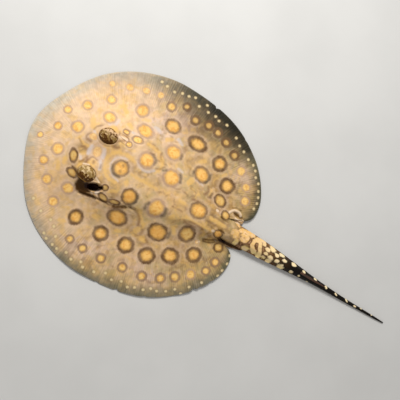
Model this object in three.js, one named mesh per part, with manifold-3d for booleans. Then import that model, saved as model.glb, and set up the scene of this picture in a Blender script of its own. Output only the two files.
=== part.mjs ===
// A young freshwater stingray, life size, lying flat on its belly.
// Millimetres, +Z up. The head points to -Y, the tail to +Y, and +X is the animal's left.
// The origin is on the belly, at floor level, on the midline under the gill region.
import * as THREE from "three";
import { mergeVertices } from "three/addons/utils/BufferGeometryUtils.js";
import Module from "manifold-3d";

const wasm = await Module();
wasm.setup();

// ---------------------------------------------------------------- driving dimensions
const DISC_WIDTH = 150;         // across both pectoral fins
const SNOUT_Y = -77;            // front of the disc
const TAIL_TIP_Y = 222;         // end of the tail
const GAP = 0.3;                // clearance between neighbouring pieces
const RIM = 0.7;                // thickness of the fins at their margin
const LIFT = 0.6;               // mean height of the fin margin above the floor
const LIFT_REACH = 14;          // how far in from the margin a fin leaves the floor
const WAVE = 0.35;              // how much the margin ripples up and down
const WAVE_COUNT = 9;           // ripples round the disc
const REAR_LIFT = 1.5;          // the rear lobes ride this high, over the pelvic fins
const REAR_LIFT_FROM = 58;      // where along Y the rear lobes start to rise
const REAR_LIFT_TO = 76;        // and where they have risen
const FIN_EDGE = 0.5;           // how far in from the margin a fin reaches its thickness
const BLADE = 5.6;              // thickness of the pectoral fin where it meets the body
const BLADE_REACH = 26;         // how fast the fin thickens inwards
const FLANK_START = 0.22;       // where the back starts to fall, in half-widths of the body
const CROWN = 0.06;             // how far the back is arched inside its flanks
const TAIL_SWAY = 1.45;         // sideways bend of the tail root, towards the animal's right
const SWAY_FROM = 10;           // where along Y that bend starts
const SWAY_LENGTH = 170;
const TAIL_MIDDLE = 0.45;       // height of the tail's sides, as a share of its back
const EDGE_SHARE = 0.3;         // half-thickness of the tail's sides, as a share of its back
const PELVIC_THICKNESS = 0.9;

const EYE = { x: 14.1, y: -29.8, z: 14.6, rx: 5.4, ry: 6.5, rz: 5.2 };
const ORBIT = { height: 2.8, spread: 8.5 };
const SPIRACLE = { x: 18.8, y: -20.2, z: 13.4, rx: 2.8, ry: 4.7, rz: 3.4, turn: 0.36 };
const MOUTH = { x: 0, y: -48, z: 0, rx: 8.2, ry: 1.2, rz: 1.6 };

// Where the body is parted into its named lengths, along Y.
const NECK_CUT = -12;
const TAIL_ROOT_CUT = 71;
const TAIL_MIDDLE_CUT = 118;
const TAIL_TIP_CUT = 168;

const STING = { y: 139, length: 25, width: 2.0, height: 1.1, taper: 0.85,
  barbs: 8, barbDepth: 0.22, barbRake: 0.5 };

// ---------------------------------------------------------------- outline of one half
// Each row is a point of the margin (x, y) and the place on the backbone that its fin ray
// springs from. It runs from the snout round the disc, into the notch beside the tail, and
// along the tail's side to the tip.
const OUTLINE = [
  [0, SNOUT_Y, -30],
  [6, -76.5, -29.6],
  [15, -74.2, -28.5],
  [27, -69.2, -26.5],
  [39, -62.6, -23.5],
  [50.2, -54.2, -19.5],
  [59.3, -44.2, -15],
  [66.3, -33, -10.5],
  [71.3, -20.5, -6],
  [74.3, -7, -1],
  [DISC_WIDTH / 2, 6, 4],
  [74.6, 19, 9],
  [72.8, 32, 14],
  [69, 45, 19],
  [63, 57.5, 24],
  [54.6, 69.2, 29],
  [43.2, 79.6, 34],
  [30.5, 86.8, 38],
  [19.8, 88.2, 41.5],
  [14, 86, 44],
  [11.6, 82, 46.5],
  [9.8, 77, 50],
  [8.4, 72.5, 58],
  [7.8, 76.5, 70],
  [7.4, 82, 80],
  [7.1, 90, 90],
  [6.6, 103, 103],
  [5.8, 115, 115],
  [4.2, 134, 134],
  [2.6, 154, 154],
  [1.7, 175, 175],
  [1.15, 198, 198],
  [0.8, 214, 214],
  [0.4, TAIL_TIP_Y, TAIL_TIP_Y - 0.6],
];
const LOBE_END = 21;            // rows of OUTLINE before this one bound the fins
const NOTCH_ROW = 22;           // the row in the notch between fin and tail

// Height of the back on the midline, and half-width of the raised body, along Y.
const BACK = [
  // y, height, half-width
  [-77, 1.4, 30],
  [-68, 3.3, 33],
  [-57, 6.2, 38],
  [-45, 10.4, 42],
  [-33, 13.8, 45],
  [-20, 15.8, 46],
  [-6, 17.2, 45],
  [8, 16.6, 41],
  [25, 14.2, 35],
  [43, 12.0, 28.5],
  [60, 10.4, 20.5],
  [76, 9.4, 13.5],
  [100, 8.2, 10],
  [125, 6.6, 8],
  [150, 4.6, 6],
  [175, 2.9, 5],
  [200, 1.9, 5],
  [222, 1.1, 5],
];

// ---------------------------------------------------------------- small helpers
const clamp01 = (v) => Math.min(1, Math.max(0, v));
const smoothstep = (a, b, v) => {
  const t = clamp01((v - a) / (b - a));
  return t * t * (3 - 2 * t);
};

// Smooth curve through the rows of a table, read at a height y.
function tableReader(rows) {
  const curve = new THREE.CatmullRomCurve3(
    rows.map(([y, height, half]) => new THREE.Vector3(y, height, half)), false, "centripetal");
  const fine = curve.getPoints(rows.length * 12);
  return (y) => {
    const next = fine.findIndex((p) => p.x >= y);
    if (next < 1) return next === 0 ? fine[0] : fine[fine.length - 1];
    const a = fine[next - 1];
    const b = fine[next];
    return a.clone().lerp(b, (y - a.x) / (b.x - a.x));
  };
}
const back = tableReader(BACK);

const outlineCurve = new THREE.CatmullRomCurve3(
  OUTLINE.map(([x, y, root]) => new THREE.Vector3(x, y, root)), false, "centripetal");

// The tail's root bends a little to one side; the head and the tip stay on the midline.
const swayAt = (y) => -TAIL_SWAY * Math.sin(Math.PI * clamp01((y - SWAY_FROM) / SWAY_LENGTH));

// ---------------------------------------------------------------- the body as two surfaces
// tailness is 0 on the fins and 1 where the outline runs along the tail.
const tailness = (row) => smoothstep(LOBE_END, NOTCH_ROW + 1.5, row);

// Height of the fin's lower margin above the floor, round the disc.
function marginLift(x, y, row) {
  const angle = Math.atan2(x, 6 - y);
  const ripple = LIFT + WAVE * Math.cos(WAVE_COUNT * angle);
  const rear = REAR_LIFT * smoothstep(REAR_LIFT_FROM, REAR_LIFT_TO, y);
  return Math.max(ripple, rear) * (1 - tailness(row));
}

// The belly is flat on the floor, and the fins rise from it towards their margin.
const bottomHeight = (inFromMargin, lift) => lift * (1 - smoothstep(0, LIFT_REACH, inFromMargin));

// The fin's blade thickens inwards, and the raised body stands on it with sloping flanks.
function topHeight(x, y, inFromMargin, bottom) {
  const station = back(y);
  const thickness = RIM + (BLADE - RIM) * (1 - Math.exp(-inFromMargin / BLADE_REACH));
  const blade = bottom + thickness;
  const across = Math.abs(x) / station.z;
  const hump = (1 - smoothstep(FLANK_START, 1, across)) * (1 - CROWN * across * across);
  const rise = Math.max(0, station.y - blade);
  const eyeDistance = Math.hypot(Math.abs(x) - EYE.x, y - EYE.y);
  const orbit = ORBIT.height * Math.exp(-((eyeDistance / ORBIT.spread) ** 2));
  return blade + rise * hump + orbit;
}

// Fractions of the way from the backbone to the margin, closer together where the back
// falls away to the fins and at the edge.
const BACK_STEPS = [0, 0.1, 0.18, 0.24, 0.29, 0.34, 0.39, 0.44, 0.5, 0.57, 0.66, 0.78, 0.9, 0.965, 1];
const BELLY_STEPS = [0, 0.35, 0.65, 0.84, 0.94, 1];
const SAMPLES_ON_DISC = 48;     // from the snout to the notch, on each side
const SAMPLES_ON_TAIL = 15;     // from the notch to the tip, on each side
const EYE_DETAIL = 16;          // segments round an eye or the mouth
const SPIRACLE_DETAIL = 12;

function outlineSamples() {
  const last = OUTLINE.length - 1;
  const rows = [];
  for (let i = 0; i <= SAMPLES_ON_DISC; i++) rows.push((NOTCH_ROW * i) / SAMPLES_ON_DISC);
  for (let i = 1; i <= SAMPLES_ON_TAIL; i++) {
    rows.push(NOTCH_ROW + ((last - NOTCH_ROW) * i) / SAMPLES_ON_TAIL);
  }
  return rows.map((row) => ({ row, point: outlineCurve.getPoint(row / last) }));
}

// The upper and lower points of the body at one step along one fin ray.
function bodyPoint(sample, step, side) {
  const { x: edgeX, y: edgeY, z: root } = sample.point;
  const x = edgeX * step;
  const y = root + (edgeY - root) * step;
  const inward = Math.hypot(edgeX, edgeY - root) * (1 - step);
  const tail = tailness(sample.row);
  const edgeRadius = FIN_EDGE + (edgeX - FIN_EDGE) * tail;
  const round = Math.sqrt(1 - (1 - clamp01(inward / edgeRadius)) ** 2);
  const lift = marginLift(edgeX, edgeY, sample.row);
  const tailHeight = back(edgeY).y;
  const middle = THREE.MathUtils.lerp(lift + RIM / 2, TAIL_MIDDLE * tailHeight, tail);
  const half = Math.min(RIM / 2, EDGE_SHARE * tailHeight);
  const bottom = bottomHeight(inward, lift);
  const top = topHeight(x, y, inward, bottom);
  const across = side * x + swayAt(y) * (1 - x / (DISC_WIDTH / 2));
  return {
    top: [across, y, middle + half + (top - middle - half) * round],
    bottom: [across, y, middle - half - (middle - half - bottom) * round],
  };
}

// One closed surface. Each ray of points runs out along the back, over the rim, and in again
// along the belly.
function wholeBody() {
  const samples = outlineSamples();
  const leftSide = samples.map((sample) => ({ sample, side: 1 }));
  const rightSide = samples.slice(1).reverse().map((sample) => ({ sample, side: -1 }));
  const rays = [...leftSide, ...rightSide].map(({ sample, side }) => [
    ...BACK_STEPS.map((step) => bodyPoint(sample, step, side).top),
    ...BELLY_STEPS.toReversed().map((step) => bodyPoint(sample, step, side).bottom),
  ]);
  const positions = [];
  rays.forEach((ray, i) => {
    const next = rays[(i + 1) % rays.length];
    for (let j = 0; j + 1 < ray.length; j++) {
      positions.push(...ray[j], ...ray[j + 1], ...next[j + 1]);
      positions.push(...ray[j], ...next[j + 1], ...next[j]);
    }
  });
  const geometry = new THREE.BufferGeometry();
  geometry.setAttribute("position", new THREE.Float32BufferAttribute(positions, 3));
  return geometry;
}

// ---------------------------------------------------------------- solids and cuts
function solid(geometry) {
  const bare = geometry.clone();
  bare.deleteAttribute("normal");
  bare.deleteAttribute("uv");
  const merged = mergeVertices(bare, 1e-4);
  return new wasm.Manifold(new wasm.Mesh({
    numProp: 3,
    vertProperties: new Float32Array(merged.attributes.position.array),
    triVerts: new Uint32Array(merged.index.array),
  }));
}

function geometryOf(manifold) {
  const mesh = manifold.getMesh();
  const geometry = new THREE.BufferGeometry();
  geometry.setAttribute("position", new THREE.BufferAttribute(mesh.vertProperties, 3));
  geometry.setIndex(new THREE.BufferAttribute(mesh.triVerts, 1));
  geometry.computeVertexNormals();
  return geometry;
}

// A box between two corners.
function block(low, high) {
  const size = high.map((v, i) => v - low[i]);
  const geometry = new THREE.BoxGeometry(...size);
  geometry.translate(...low.map((v, i) => v + size[i] / 2));
  return solid(geometry);
}

// A slice of everything between two places along Y.
const slice = (from, to) => block([-200, from, -20], [200, to, 60]);

// A smooth curve through plan points, moved outwards by grow, as a list of plan points.
function planCurve(points, grow, count) {
  const curve = new THREE.CatmullRomCurve3(
    points.map(([x, y]) => new THREE.Vector3(x, y, 0)), false, "centripetal");
  return Array.from({ length: count + 1 }, (_, i) => {
    const at = curve.getPoint(i / count);
    const along = curve.getTangent(i / count);
    return new THREE.Vector2(at.x + along.y * grow, at.y - along.x * grow);
  });
}

function upright(planPoints, low, high) {
  const geometry = new THREE.ExtrudeGeometry(new THREE.Shape(planPoints), {
    depth: high - low, bevelEnabled: false,
  });
  geometry.translate(0, 0, low);
  return solid(geometry);
}

// Half-outline of the head and trunk, where the pectoral fins grow from them, and of the
// corridor behind them that holds the tail.
const CORE = [
  [0, -66], [10, -63.5], [19, -56.5], [25.5, -46], [29, -32], [29.5, -16], [28.8, -2],
  [26, 15], [22.5, 32], [18, 48], [12.8, 62], [9.2, 71], [8.9, 78], [9, 95], [9, 240],
];

function corePrism(grow) {
  const left = planCurve(CORE, grow, 40);
  const right = left.map((p) => new THREE.Vector2(-p.x, p.y)).reverse();
  const outline = [...left, ...right.slice(0, -1)].map(
    (p) => new THREE.Vector2(p.x + swayAt(p.y), p.y));
  return upright(outline, -20, 60);
}

// The pelvic fin's own outline, under the rear lobe, for the left side.
const PELVIC = [
  [4, 60], [14, 53.5], [24, 57.5], [31, 66], [31.5, 75.5], [24, 82.5], [15, 84.6], [9.6, 82], [4, 74],
];

function pelvicPrism(side, grow, low, high) {
  const points = planCurve(PELVIC, grow, 24).map(
    (p) => new THREE.Vector2(side * p.x + swayAt(p.y), p.y));
  return upright(side > 0 ? points : points.reverse(), low, high);
}

function ellipsoid({ x, y, z, rx, ry, rz, turn = 0 }, side, grow, detail) {
  const geometry = new THREE.SphereGeometry(1, detail, detail / 2);
  geometry.scale(rx + grow, ry + grow, rz + grow);
  geometry.rotateZ(side * turn);
  geometry.translate(side * x, y, z);
  return solid(geometry);
}

// ---------------------------------------------------------------- the pieces
const sides = { left: 1, right: -1 };
const body = solid(wholeBody());
const core = corePrism(0);
const coreWithGap = corePrism(GAP);

function makeHead() {
  let head = body.intersect(core).intersect(slice(-100, NECK_CUT - GAP / 2));
  for (const side of Object.values(sides)) {
    head = head.subtract(ellipsoid(EYE, side, GAP, EYE_DETAIL));
    head = head.subtract(ellipsoid(SPIRACLE, side, 0, SPIRACLE_DETAIL));
  }
  return head.subtract(ellipsoid(MOUTH, 1, 0, EYE_DETAIL));
}

const makeTrunk = () => body.intersect(core).intersect(
  slice(NECK_CUT + GAP / 2, TAIL_ROOT_CUT - GAP / 2));

function makePectoralFin(side) {
  const reach = side > 0 ? block([GAP / 2, -100, -20], [100, 100, 60])
    : block([-100, -100, -20], [-GAP / 2, 100, 60]);
  const pelvicRoom = pelvicPrism(side, GAP, -5, PELVIC_THICKNESS + GAP);
  return body.intersect(reach).subtract(coreWithGap).subtract(pelvicRoom);
}

const makePelvicFin = (side) => pelvicPrism(side, 0, 0, PELVIC_THICKNESS).subtract(coreWithGap);

const makeTail = (from, to) => body.intersect(core).intersect(
  slice(from + GAP / 2, to - GAP / 2));

// A barbed spine that lies back along the top of the tail.
function makeSting() {
  const edge = [new THREE.Vector2(STING.width / 2, 0)];
  for (let i = 1; i <= STING.barbs; i++) {
    const along = (i / (STING.barbs + 1)) * STING.length;
    const half = (STING.width / 2) * (1 - STING.taper * (i / (STING.barbs + 1)) ** 2);
    edge.push(new THREE.Vector2(half, along), new THREE.Vector2(half - STING.barbDepth, along - STING.barbRake));
  }
  const other = edge.map((p) => new THREE.Vector2(-p.x, p.y)).reverse();
  const outline = [...edge, new THREE.Vector2(0, STING.length), ...other];
  return upright(outline, 0, STING.height);
}

// ---------------------------------------------------------------- assembly
const COLOURS = {
  skin: 0xd9b98c,
  fin: 0xcbb38b,
  tail: 0x6b553a,
  eye: 0x4a4030,
  sting: 0x57483a,
};

function piece(name, manifold, colour, roughness) {
  const material = new THREE.MeshStandardMaterial({ color: colour, roughness, metalness: 0 });
  const mesh = new THREE.Mesh(geometryOf(manifold), material);
  mesh.name = name;
  return mesh;
}

const ray = new THREE.Group();
ray.add(piece("head", makeHead(), COLOURS.skin, 0.45));
ray.add(piece("trunk", makeTrunk(), COLOURS.skin, 0.45));
for (const [name, side] of Object.entries(sides)) {
  ray.add(piece(`pectoral_fin_${name}`, makePectoralFin(side), COLOURS.fin, 0.45));
  ray.add(piece(`pelvic_fin_${name}`, makePelvicFin(side), COLOURS.fin, 0.5));
  ray.add(piece(`eye_${name}`, ellipsoid(EYE, side, 0, EYE_DETAIL), COLOURS.eye, 0.15));
}
ray.add(piece("tail_base", makeTail(TAIL_ROOT_CUT, TAIL_MIDDLE_CUT), COLOURS.skin, 0.5));
ray.add(piece("tail_middle", makeTail(TAIL_MIDDLE_CUT, TAIL_TIP_CUT), COLOURS.tail, 0.5));
ray.add(piece("tail_tip", makeTail(TAIL_TIP_CUT, TAIL_TIP_Y + 5), COLOURS.tail, 0.5));

// The sting is turned to the slope of the tail under it.
const stingRoot = back(STING.y).y;
const stingTip = back(STING.y + STING.length).y;
const sting = piece("tail_sting", makeSting(), COLOURS.sting, 0.5);
sting.position.set(swayAt(STING.y), STING.y, stingRoot + GAP);
sting.rotation.x = Math.atan2(stingTip - stingRoot, STING.length);
ray.add(sting);

export default ray;
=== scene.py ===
import math

import bmesh
import bpy
import numpy as np
from mathutils import Matrix, Vector
from mathutils.kdtree import KDTree


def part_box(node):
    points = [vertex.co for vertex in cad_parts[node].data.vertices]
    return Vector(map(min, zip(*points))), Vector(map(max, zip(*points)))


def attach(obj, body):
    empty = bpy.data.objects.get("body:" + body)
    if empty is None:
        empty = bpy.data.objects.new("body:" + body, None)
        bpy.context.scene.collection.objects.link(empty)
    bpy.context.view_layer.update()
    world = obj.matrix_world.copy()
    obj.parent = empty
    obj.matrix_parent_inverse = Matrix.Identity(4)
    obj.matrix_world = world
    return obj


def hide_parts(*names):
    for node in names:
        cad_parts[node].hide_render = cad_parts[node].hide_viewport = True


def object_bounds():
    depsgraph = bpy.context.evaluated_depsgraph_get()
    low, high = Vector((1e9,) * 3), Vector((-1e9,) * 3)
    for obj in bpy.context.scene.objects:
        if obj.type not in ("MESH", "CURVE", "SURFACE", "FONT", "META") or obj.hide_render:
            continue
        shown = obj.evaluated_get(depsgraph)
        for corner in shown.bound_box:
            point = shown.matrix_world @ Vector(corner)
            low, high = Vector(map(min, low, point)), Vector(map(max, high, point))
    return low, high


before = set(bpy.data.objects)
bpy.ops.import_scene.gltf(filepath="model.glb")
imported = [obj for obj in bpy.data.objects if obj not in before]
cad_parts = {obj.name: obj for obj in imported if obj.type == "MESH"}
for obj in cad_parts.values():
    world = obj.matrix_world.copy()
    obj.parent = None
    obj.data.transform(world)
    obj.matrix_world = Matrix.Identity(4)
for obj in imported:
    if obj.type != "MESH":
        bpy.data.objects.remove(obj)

CAD_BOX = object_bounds()
DISC_WIDTH = 150.0
UNIT = (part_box("pectoral_fin_left")[1].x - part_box("pectoral_fin_right")[0].x) / DISC_WIDTH
TAIL_TIP_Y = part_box("tail_tip")[1].y / UNIT
SNOUT_Y = CAD_BOX[0].y / UNIT
LEFT, RIGHT = 1, -1


# ------------------------------------------------------------------ camera
# It looks steeply down from over the left eye. The top of the picture lies
# towards the animal's right and front.
CAMERA_TARGET = (-10.1, 47.2, 0.0)
CAMERA_DISTANCE = 343.8
CAMERA_ELEVATION = 77.8           # degrees above the floor
CAMERA_AZIMUTH = -64.0            # degrees in plan from +X, from the target to the camera
PICTURE_TOP_AZIMUTH = 210.13      # degrees in plan from +X
SENSOR_WIDTH = 36.0
LENS = 43.2                       # the view is 45 degrees wide


def plan_direction(degrees, elevation=0.0):
    """Unit vector at an angle in plan from +X and an angle above the floor."""
    a, e = math.radians(degrees), math.radians(elevation)
    return Vector((math.cos(a) * math.cos(e), math.sin(a) * math.cos(e), math.sin(e)))


def make_camera():
    """The main camera, upright in the picture along PICTURE_TOP_AZIMUTH."""
    data = bpy.data.cameras.new("camera")
    data.sensor_width = SENSOR_WIDTH
    data.lens = LENS
    data.clip_start = 0.01
    camera = bpy.data.objects.new("camera", data)
    bpy.context.scene.collection.objects.link(camera)
    backward = plan_direction(CAMERA_AZIMUTH, CAMERA_ELEVATION)
    top = plan_direction(PICTURE_TOP_AZIMUTH)
    up = (top - backward * top.dot(backward)).normalized()
    right = up.cross(backward)
    turn = Matrix((right, up, backward)).transposed().to_4x4()
    place = (Vector(CAMERA_TARGET) + backward * CAMERA_DISTANCE) * UNIT
    camera.matrix_world = Matrix.Translation(place) @ turn
    bpy.context.scene.camera = camera


# ------------------------------------------------------------------ form of the body
# Margin of one half: x, y, and where on the backbone the fin ray to that point springs from.
OUTLINE = np.array([
    (0, SNOUT_Y, -30), (6, -76.5, -29.6), (15, -74.2, -28.5), (27, -69.2, -26.5),
    (39, -62.6, -23.5), (50.2, -54.2, -19.5), (59.3, -44.2, -15), (66.3, -33, -10.5),
    (71.3, -20.5, -6), (74.3, -7, -1), (DISC_WIDTH / 2, 6, 4), (74.6, 19, 9),
    (72.8, 32, 14), (69, 45, 19), (63, 57.5, 24), (54.6, 69.2, 29), (43.2, 79.6, 34),
    (30.5, 86.8, 38), (19.8, 88.2, 41.5), (14, 86, 44), (11.6, 82, 46.5), (9.8, 77, 50),
    (8.4, 72.5, 58), (7.8, 76.5, 70), (7.4, 82, 80), (7.1, 90, 90), (6.6, 103, 103),
    (5.8, 115, 115), (4.2, 134, 134), (2.6, 154, 154), (1.7, 175, 175), (1.15, 198, 198),
    (0.8, 214, 214), (0.4, TAIL_TIP_Y, TAIL_TIP_Y - 0.6),
])
LOBE_END = 21                     # rows of OUTLINE before this one bound the fins
NOTCH_ROW = 22                    # the row in the notch between fin and tail

# Height of the back on the midline, and half-width of the raised body, along Y.
BACK = np.array([
    (-77, 1.4, 30), (-68, 3.3, 33), (-57, 6.2, 38), (-45, 10.4, 42), (-33, 13.8, 45),
    (-20, 15.8, 46), (-6, 17.2, 45), (8, 16.6, 41), (25, 14.2, 35), (43, 12.0, 28.5),
    (60, 10.4, 20.5), (76, 9.4, 13.5), (100, 8.2, 10), (125, 6.6, 8), (150, 4.6, 6),
    (175, 2.9, 5), (200, 1.9, 5), (222, 1.1, 5),
])
RIM = 0.7                         # thickness of the fins near their margin
EDGE = 0.12                       # half-thickness of the very edge
LIFT = 0.6                        # the margin's height above the floor
WAVE = 0.35                       # how much its ripple adds or takes
WAVE_COUNT = 9                    # ripples round the disc
DISC_CENTRE_Y = 6                 # angles round the margin are taken from here
LIFT_REACH = 14.0                 # how far in from the margin a fin leaves the floor
REAR_LIFT = 1.5                   # the margin's height at the rear, from REAR_FROM to REAR_TO
REAR_FROM, REAR_TO = 58, 76
BLADE = 5.6                       # thickness of the fin near the body
BLADE_REACH = 26.0                # how far in from the margin it is mostly reached
FLANK_START = 0.22                # share of the half-width where the flank starts to fall
CROWN = 0.06                      # how much the back is rounded across
TAIL_SWAY = 1.45                  # the sideways bend of trunk and tail, along Y
SWAY_FROM, SWAY_LENGTH = 10, 170
TAIL_MIDDLE = 0.45                # height of the tail's widest place, as a share of its height
EDGE_SHARE = 0.3                  # the most that an edge may take of the tail's height
PELVIC_ROOM = 1.2                 # height of the belly's skin over the pelvic fins
EDGE_ROUND = 0.8                  # how far in from the margin the fins are rounded off

# Small tears in the margin: side, row of OUTLINE, depth, width in rows.
NICKS = [
    (LEFT, 10.5, 0.7, 0.07), (LEFT, 11.6, 1.2, 0.09), (LEFT, 13.1, 0.6, 0.06),
    (LEFT, 15.55, 1.5, 0.10), (LEFT, 15.85, 0.7, 0.06), (LEFT, 16.4, 0.5, 0.06),
    (RIGHT, 11.45, 1.4, 0.07), (RIGHT, 13.8, 0.4, 0.06),
]

FAR = 4.0                         # the most that a field says of a mark's distance

# How finely the skin is divided.
DISC_RAYS = 200                   # round one half of the disc
TAIL_RAYS = 132                   # along one side of the tail
BACK_DIVISIONS = 74               # from the backbone to the margin
BELLY_DIVISIONS = 28
TAIL_SKIP = 3                     # the tail takes every third division
CURVE_STEPS = 2000                # steps of the curves that rays are spaced along


def clamp01(v):
    return np.clip(v, 0.0, 1.0)


def smooth(low, high, v):
    """Goes smoothly from 0 to 1 as v goes from low to high."""
    t = clamp01((v - low) / (high - low))
    return t * t * (3 - 2 * t)


def mix(a, b, t):
    return a + (b - a) * t


def read_table(rows, y):
    """Smooth curves through the columns of a table, read at y."""
    keys = rows[:, 0]
    y = np.clip(y, keys[0], keys[-1])
    i = np.clip(np.searchsorted(keys, y, side="right") - 1, 0, len(keys) - 2)
    width = keys[i + 1] - keys[i]
    t = (y - keys[i]) / width
    columns = []
    for values in rows.T[1:]:
        slope = np.gradient(values, keys)
        columns.append((2 * t**3 - 3 * t**2 + 1) * values[i]
                       + (t**3 - 2 * t**2 + t) * width * slope[i]
                       + (3 * t**2 - 2 * t**3) * values[i + 1]
                       + (t**3 - t**2) * width * slope[i + 1])
    return columns


def through(points, at):
    """Catmull-Rom curve through points, read at whole and part numbers of points."""
    last = len(points) - 1
    i = np.clip(np.floor(at).astype(int), 0, last - 1)
    t = (at - i)[:, None]
    a, b, c, d = (points[np.clip(i + k, 0, last)] for k in (-1, 0, 1, 2))
    return 0.5 * (2 * b + (c - a) * t + (2 * a - 5 * b + 4 * c - d) * t**2
                  + (3 * b - a - 3 * c + d) * t**3)


def turned(x, y, at_x, at_y, turn):
    """Distances from a place along two axes that are turned by an angle in degrees."""
    c, s = math.cos(math.radians(turn)), math.sin(math.radians(turn))
    return (x - at_x) * c + (y - at_y) * s, (y - at_y) * c - (x - at_x) * s


def sway(y):
    """Sideways bend of the trunk and tail."""
    return -TAIL_SWAY * np.sin(np.pi * clamp01((y - SWAY_FROM) / SWAY_LENGTH))


def make_rays():
    """Rows of OUTLINE where the rays end, evenly spaced along the margin."""
    fine = np.linspace(0, NOTCH_ROW, CURVE_STEPS)
    margin = through(OUTLINE, fine)[:, :2]
    along = np.concatenate([[0], np.cumsum(np.linalg.norm(np.diff(margin, axis=0), axis=1))])
    disc = np.interp(np.linspace(0, along[-1], DISC_RAYS + 1), along, fine)
    arc = np.interp(disc, fine, along)
    fine = np.linspace(NOTCH_ROW, len(OUTLINE) - 1, CURVE_STEPS)
    y = through(OUTLINE, fine)[:, 1]
    tail = np.interp(np.linspace(y[0], y[-1], TAIL_RAYS + 1)[1:], y, fine)
    return np.concatenate([disc, tail]), np.concatenate([arc, np.full(len(tail), arc[-1])])


def divisions(count, edge_share):
    """Fractions from the backbone to the margin, closer together at the edge."""
    t = np.linspace(0, 1, count + 1)
    return t + edge_share * np.sin(np.pi * t) * t / np.pi


def skin_plan():
    """The skin laid out flat: rays from the backbone to the margin on the back and belly of
    both sides. Gives the points' plan places and fields, and the faces between them."""
    rows, arcs = make_rays()
    ends = through(OUTLINE, rows)
    steps = {1: divisions(BACK_DIVISIONS, 0.55), 0: divisions(BELLY_DIVISIONS, 0.75)}
    last = {face: len(steps[face]) - 1 for face in (1, 0)}
    thinned = {face: [*range(0, last[face], TAIL_SKIP), last[face]] for face in (1, 0)}
    last_row = len(rows) - 1
    points, faces = [], []
    index = {}

    def vertex(side, face, i, j):
        step = steps[face][j]
        shared = (j == 0) or (i == 0)
        key = (LEFT if shared else side, face, i, j)
        if key not in index:
            index[key] = len(points)
            edge_x, edge_y, root = ends[i]
            reach = math.hypot(edge_x, edge_y - root)
            tear = sum(depth * math.exp(-((rows[i] - row) / width) ** 2)
                       for nick_side, row, depth, width in NICKS if nick_side == side)
            scale = 1 - tear / reach * step ** 6
            points.append((side * edge_x * step * scale, root + (edge_y - root) * step * scale,
                           reach * (1 - step), edge_x, edge_y, rows[i], side * arcs[i], face))
        return index[key]

    for side in (LEFT, RIGHT):
        for i in range(last_row):
            for face in (1, 0):
                inner = range(last[face] + 1) if i <= DISC_RAYS else thinned[face]
                outer = range(last[face] + 1) if i < DISC_RAYS else thinned[face]
                for k in range(len(outer) - 1):
                    near = [j for j in inner if outer[k] <= j <= outer[k + 1]]
                    ring = [vertex(side, face, i, j) for j in near]
                    ring += [vertex(side, face, i + 1, outer[k + 1]),
                             vertex(side, face, i + 1, outer[k])]
                    faces.append(ring)
            faces.append([vertex(side, 1, i, last[1]), vertex(side, 0, i, last[0]),
                          vertex(side, 0, i + 1, last[0]), vertex(side, 1, i + 1, last[1])])
    # The blunt end of the tail.
    for face in (1, 0):
        for a, b in zip(thinned[face], thinned[face][1:]):
            faces.append([vertex(LEFT, face, last_row, a), vertex(LEFT, face, last_row, b),
                          vertex(RIGHT, face, last_row, b), vertex(RIGHT, face, last_row, a)])
    faces.append([vertex(LEFT, 1, last_row, last[1]), vertex(LEFT, 0, last_row, last[0]),
                  vertex(RIGHT, 0, last_row, last[0]), vertex(RIGHT, 1, last_row, last[1])])
    faces = [list(dict.fromkeys(ring)) for ring in faces]
    return np.array(points), [ring for ring in faces if len(ring) > 2]


# ------------------------------------------------------------------ head
class Eye:
    """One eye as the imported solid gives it: centre and half-sizes."""

    def __init__(self, name, side):
        low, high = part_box(name)
        self.side = side
        self.name = name
        self.centre = np.array((low + high) / 2) / UNIT
        self.size = np.array((high - low) / 2) / UNIT

    def ring(self, x, y):
        """Distance from the eye's axis, 1 at its widest."""
        return np.hypot((x - self.centre[0]) / self.size[0], (y - self.centre[1]) / self.size[1])


EYES = [Eye("eye_left", LEFT), Eye("eye_right", RIGHT)]
ORBIT_HEIGHT, ORBIT_SPREAD = 2.8, 8.5      # the swelling that each eye stands on
LID_HEIGHT, LID_CREASE = 0.26, 0.12        # the ridge round an eye and the groove outside it
SOCKET_GAP = 0.15                          # room between the bulb and the skin under it
SPIRACLE_LIP, VALVE_HEIGHT = 0.45, 1.1

# Spiracles, behind the eyes: x, y, half-width, half-length, turn in degrees, depth. Their front
# ends lean outwards. The left one is open, the right one nearly shut by its folded valve.
SPIRACLES = {
    LEFT: (19.3, -20.8, 2.9, 5.3, 19, 6.5),
    RIGHT: (-18.1, -20.2, 2.3, 4.4, -14, 0.9),
}

# Gentle swellings (+) and hollows (-) of the back: x, y, half-width, half-length, height.
SWELLINGS = [
    (0, -31, 5.5, 9, -0.9), (0, -46, 10, 6, 0.3),
    (14, -42, 5, 4, -0.5), (-14, -42, 5, 4, -0.5),
    (12, -4, 9, 11, 0.5), (-12, -4, 9, 11, 0.5), (0, 4, 3.2, 14, -0.35),
    (23.6, -27.5, 4.2, 5.5, -1.9), (-23.6, -27, 4, 6, -0.8),
    (0, -12.5, 4.5, 4.5, 0.25),
]


def swelling(x, y, at_x, at_y, half_width, half_length, height):
    """A smooth bump of the given height."""
    return height * np.exp(-((x - at_x) / half_width) ** 2 - ((y - at_y) / half_length) ** 2)


def spiracle_ring(side, x, y):
    """Distance from a spiracle's axis, 1 at its rim, and across and along it."""
    at_x, at_y, half_width, half_length, turn, _ = SPIRACLES[side]
    u, v = turned(x, y, at_x, at_y, turn)
    return np.hypot(u / half_width, v / half_length), u, v


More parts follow.
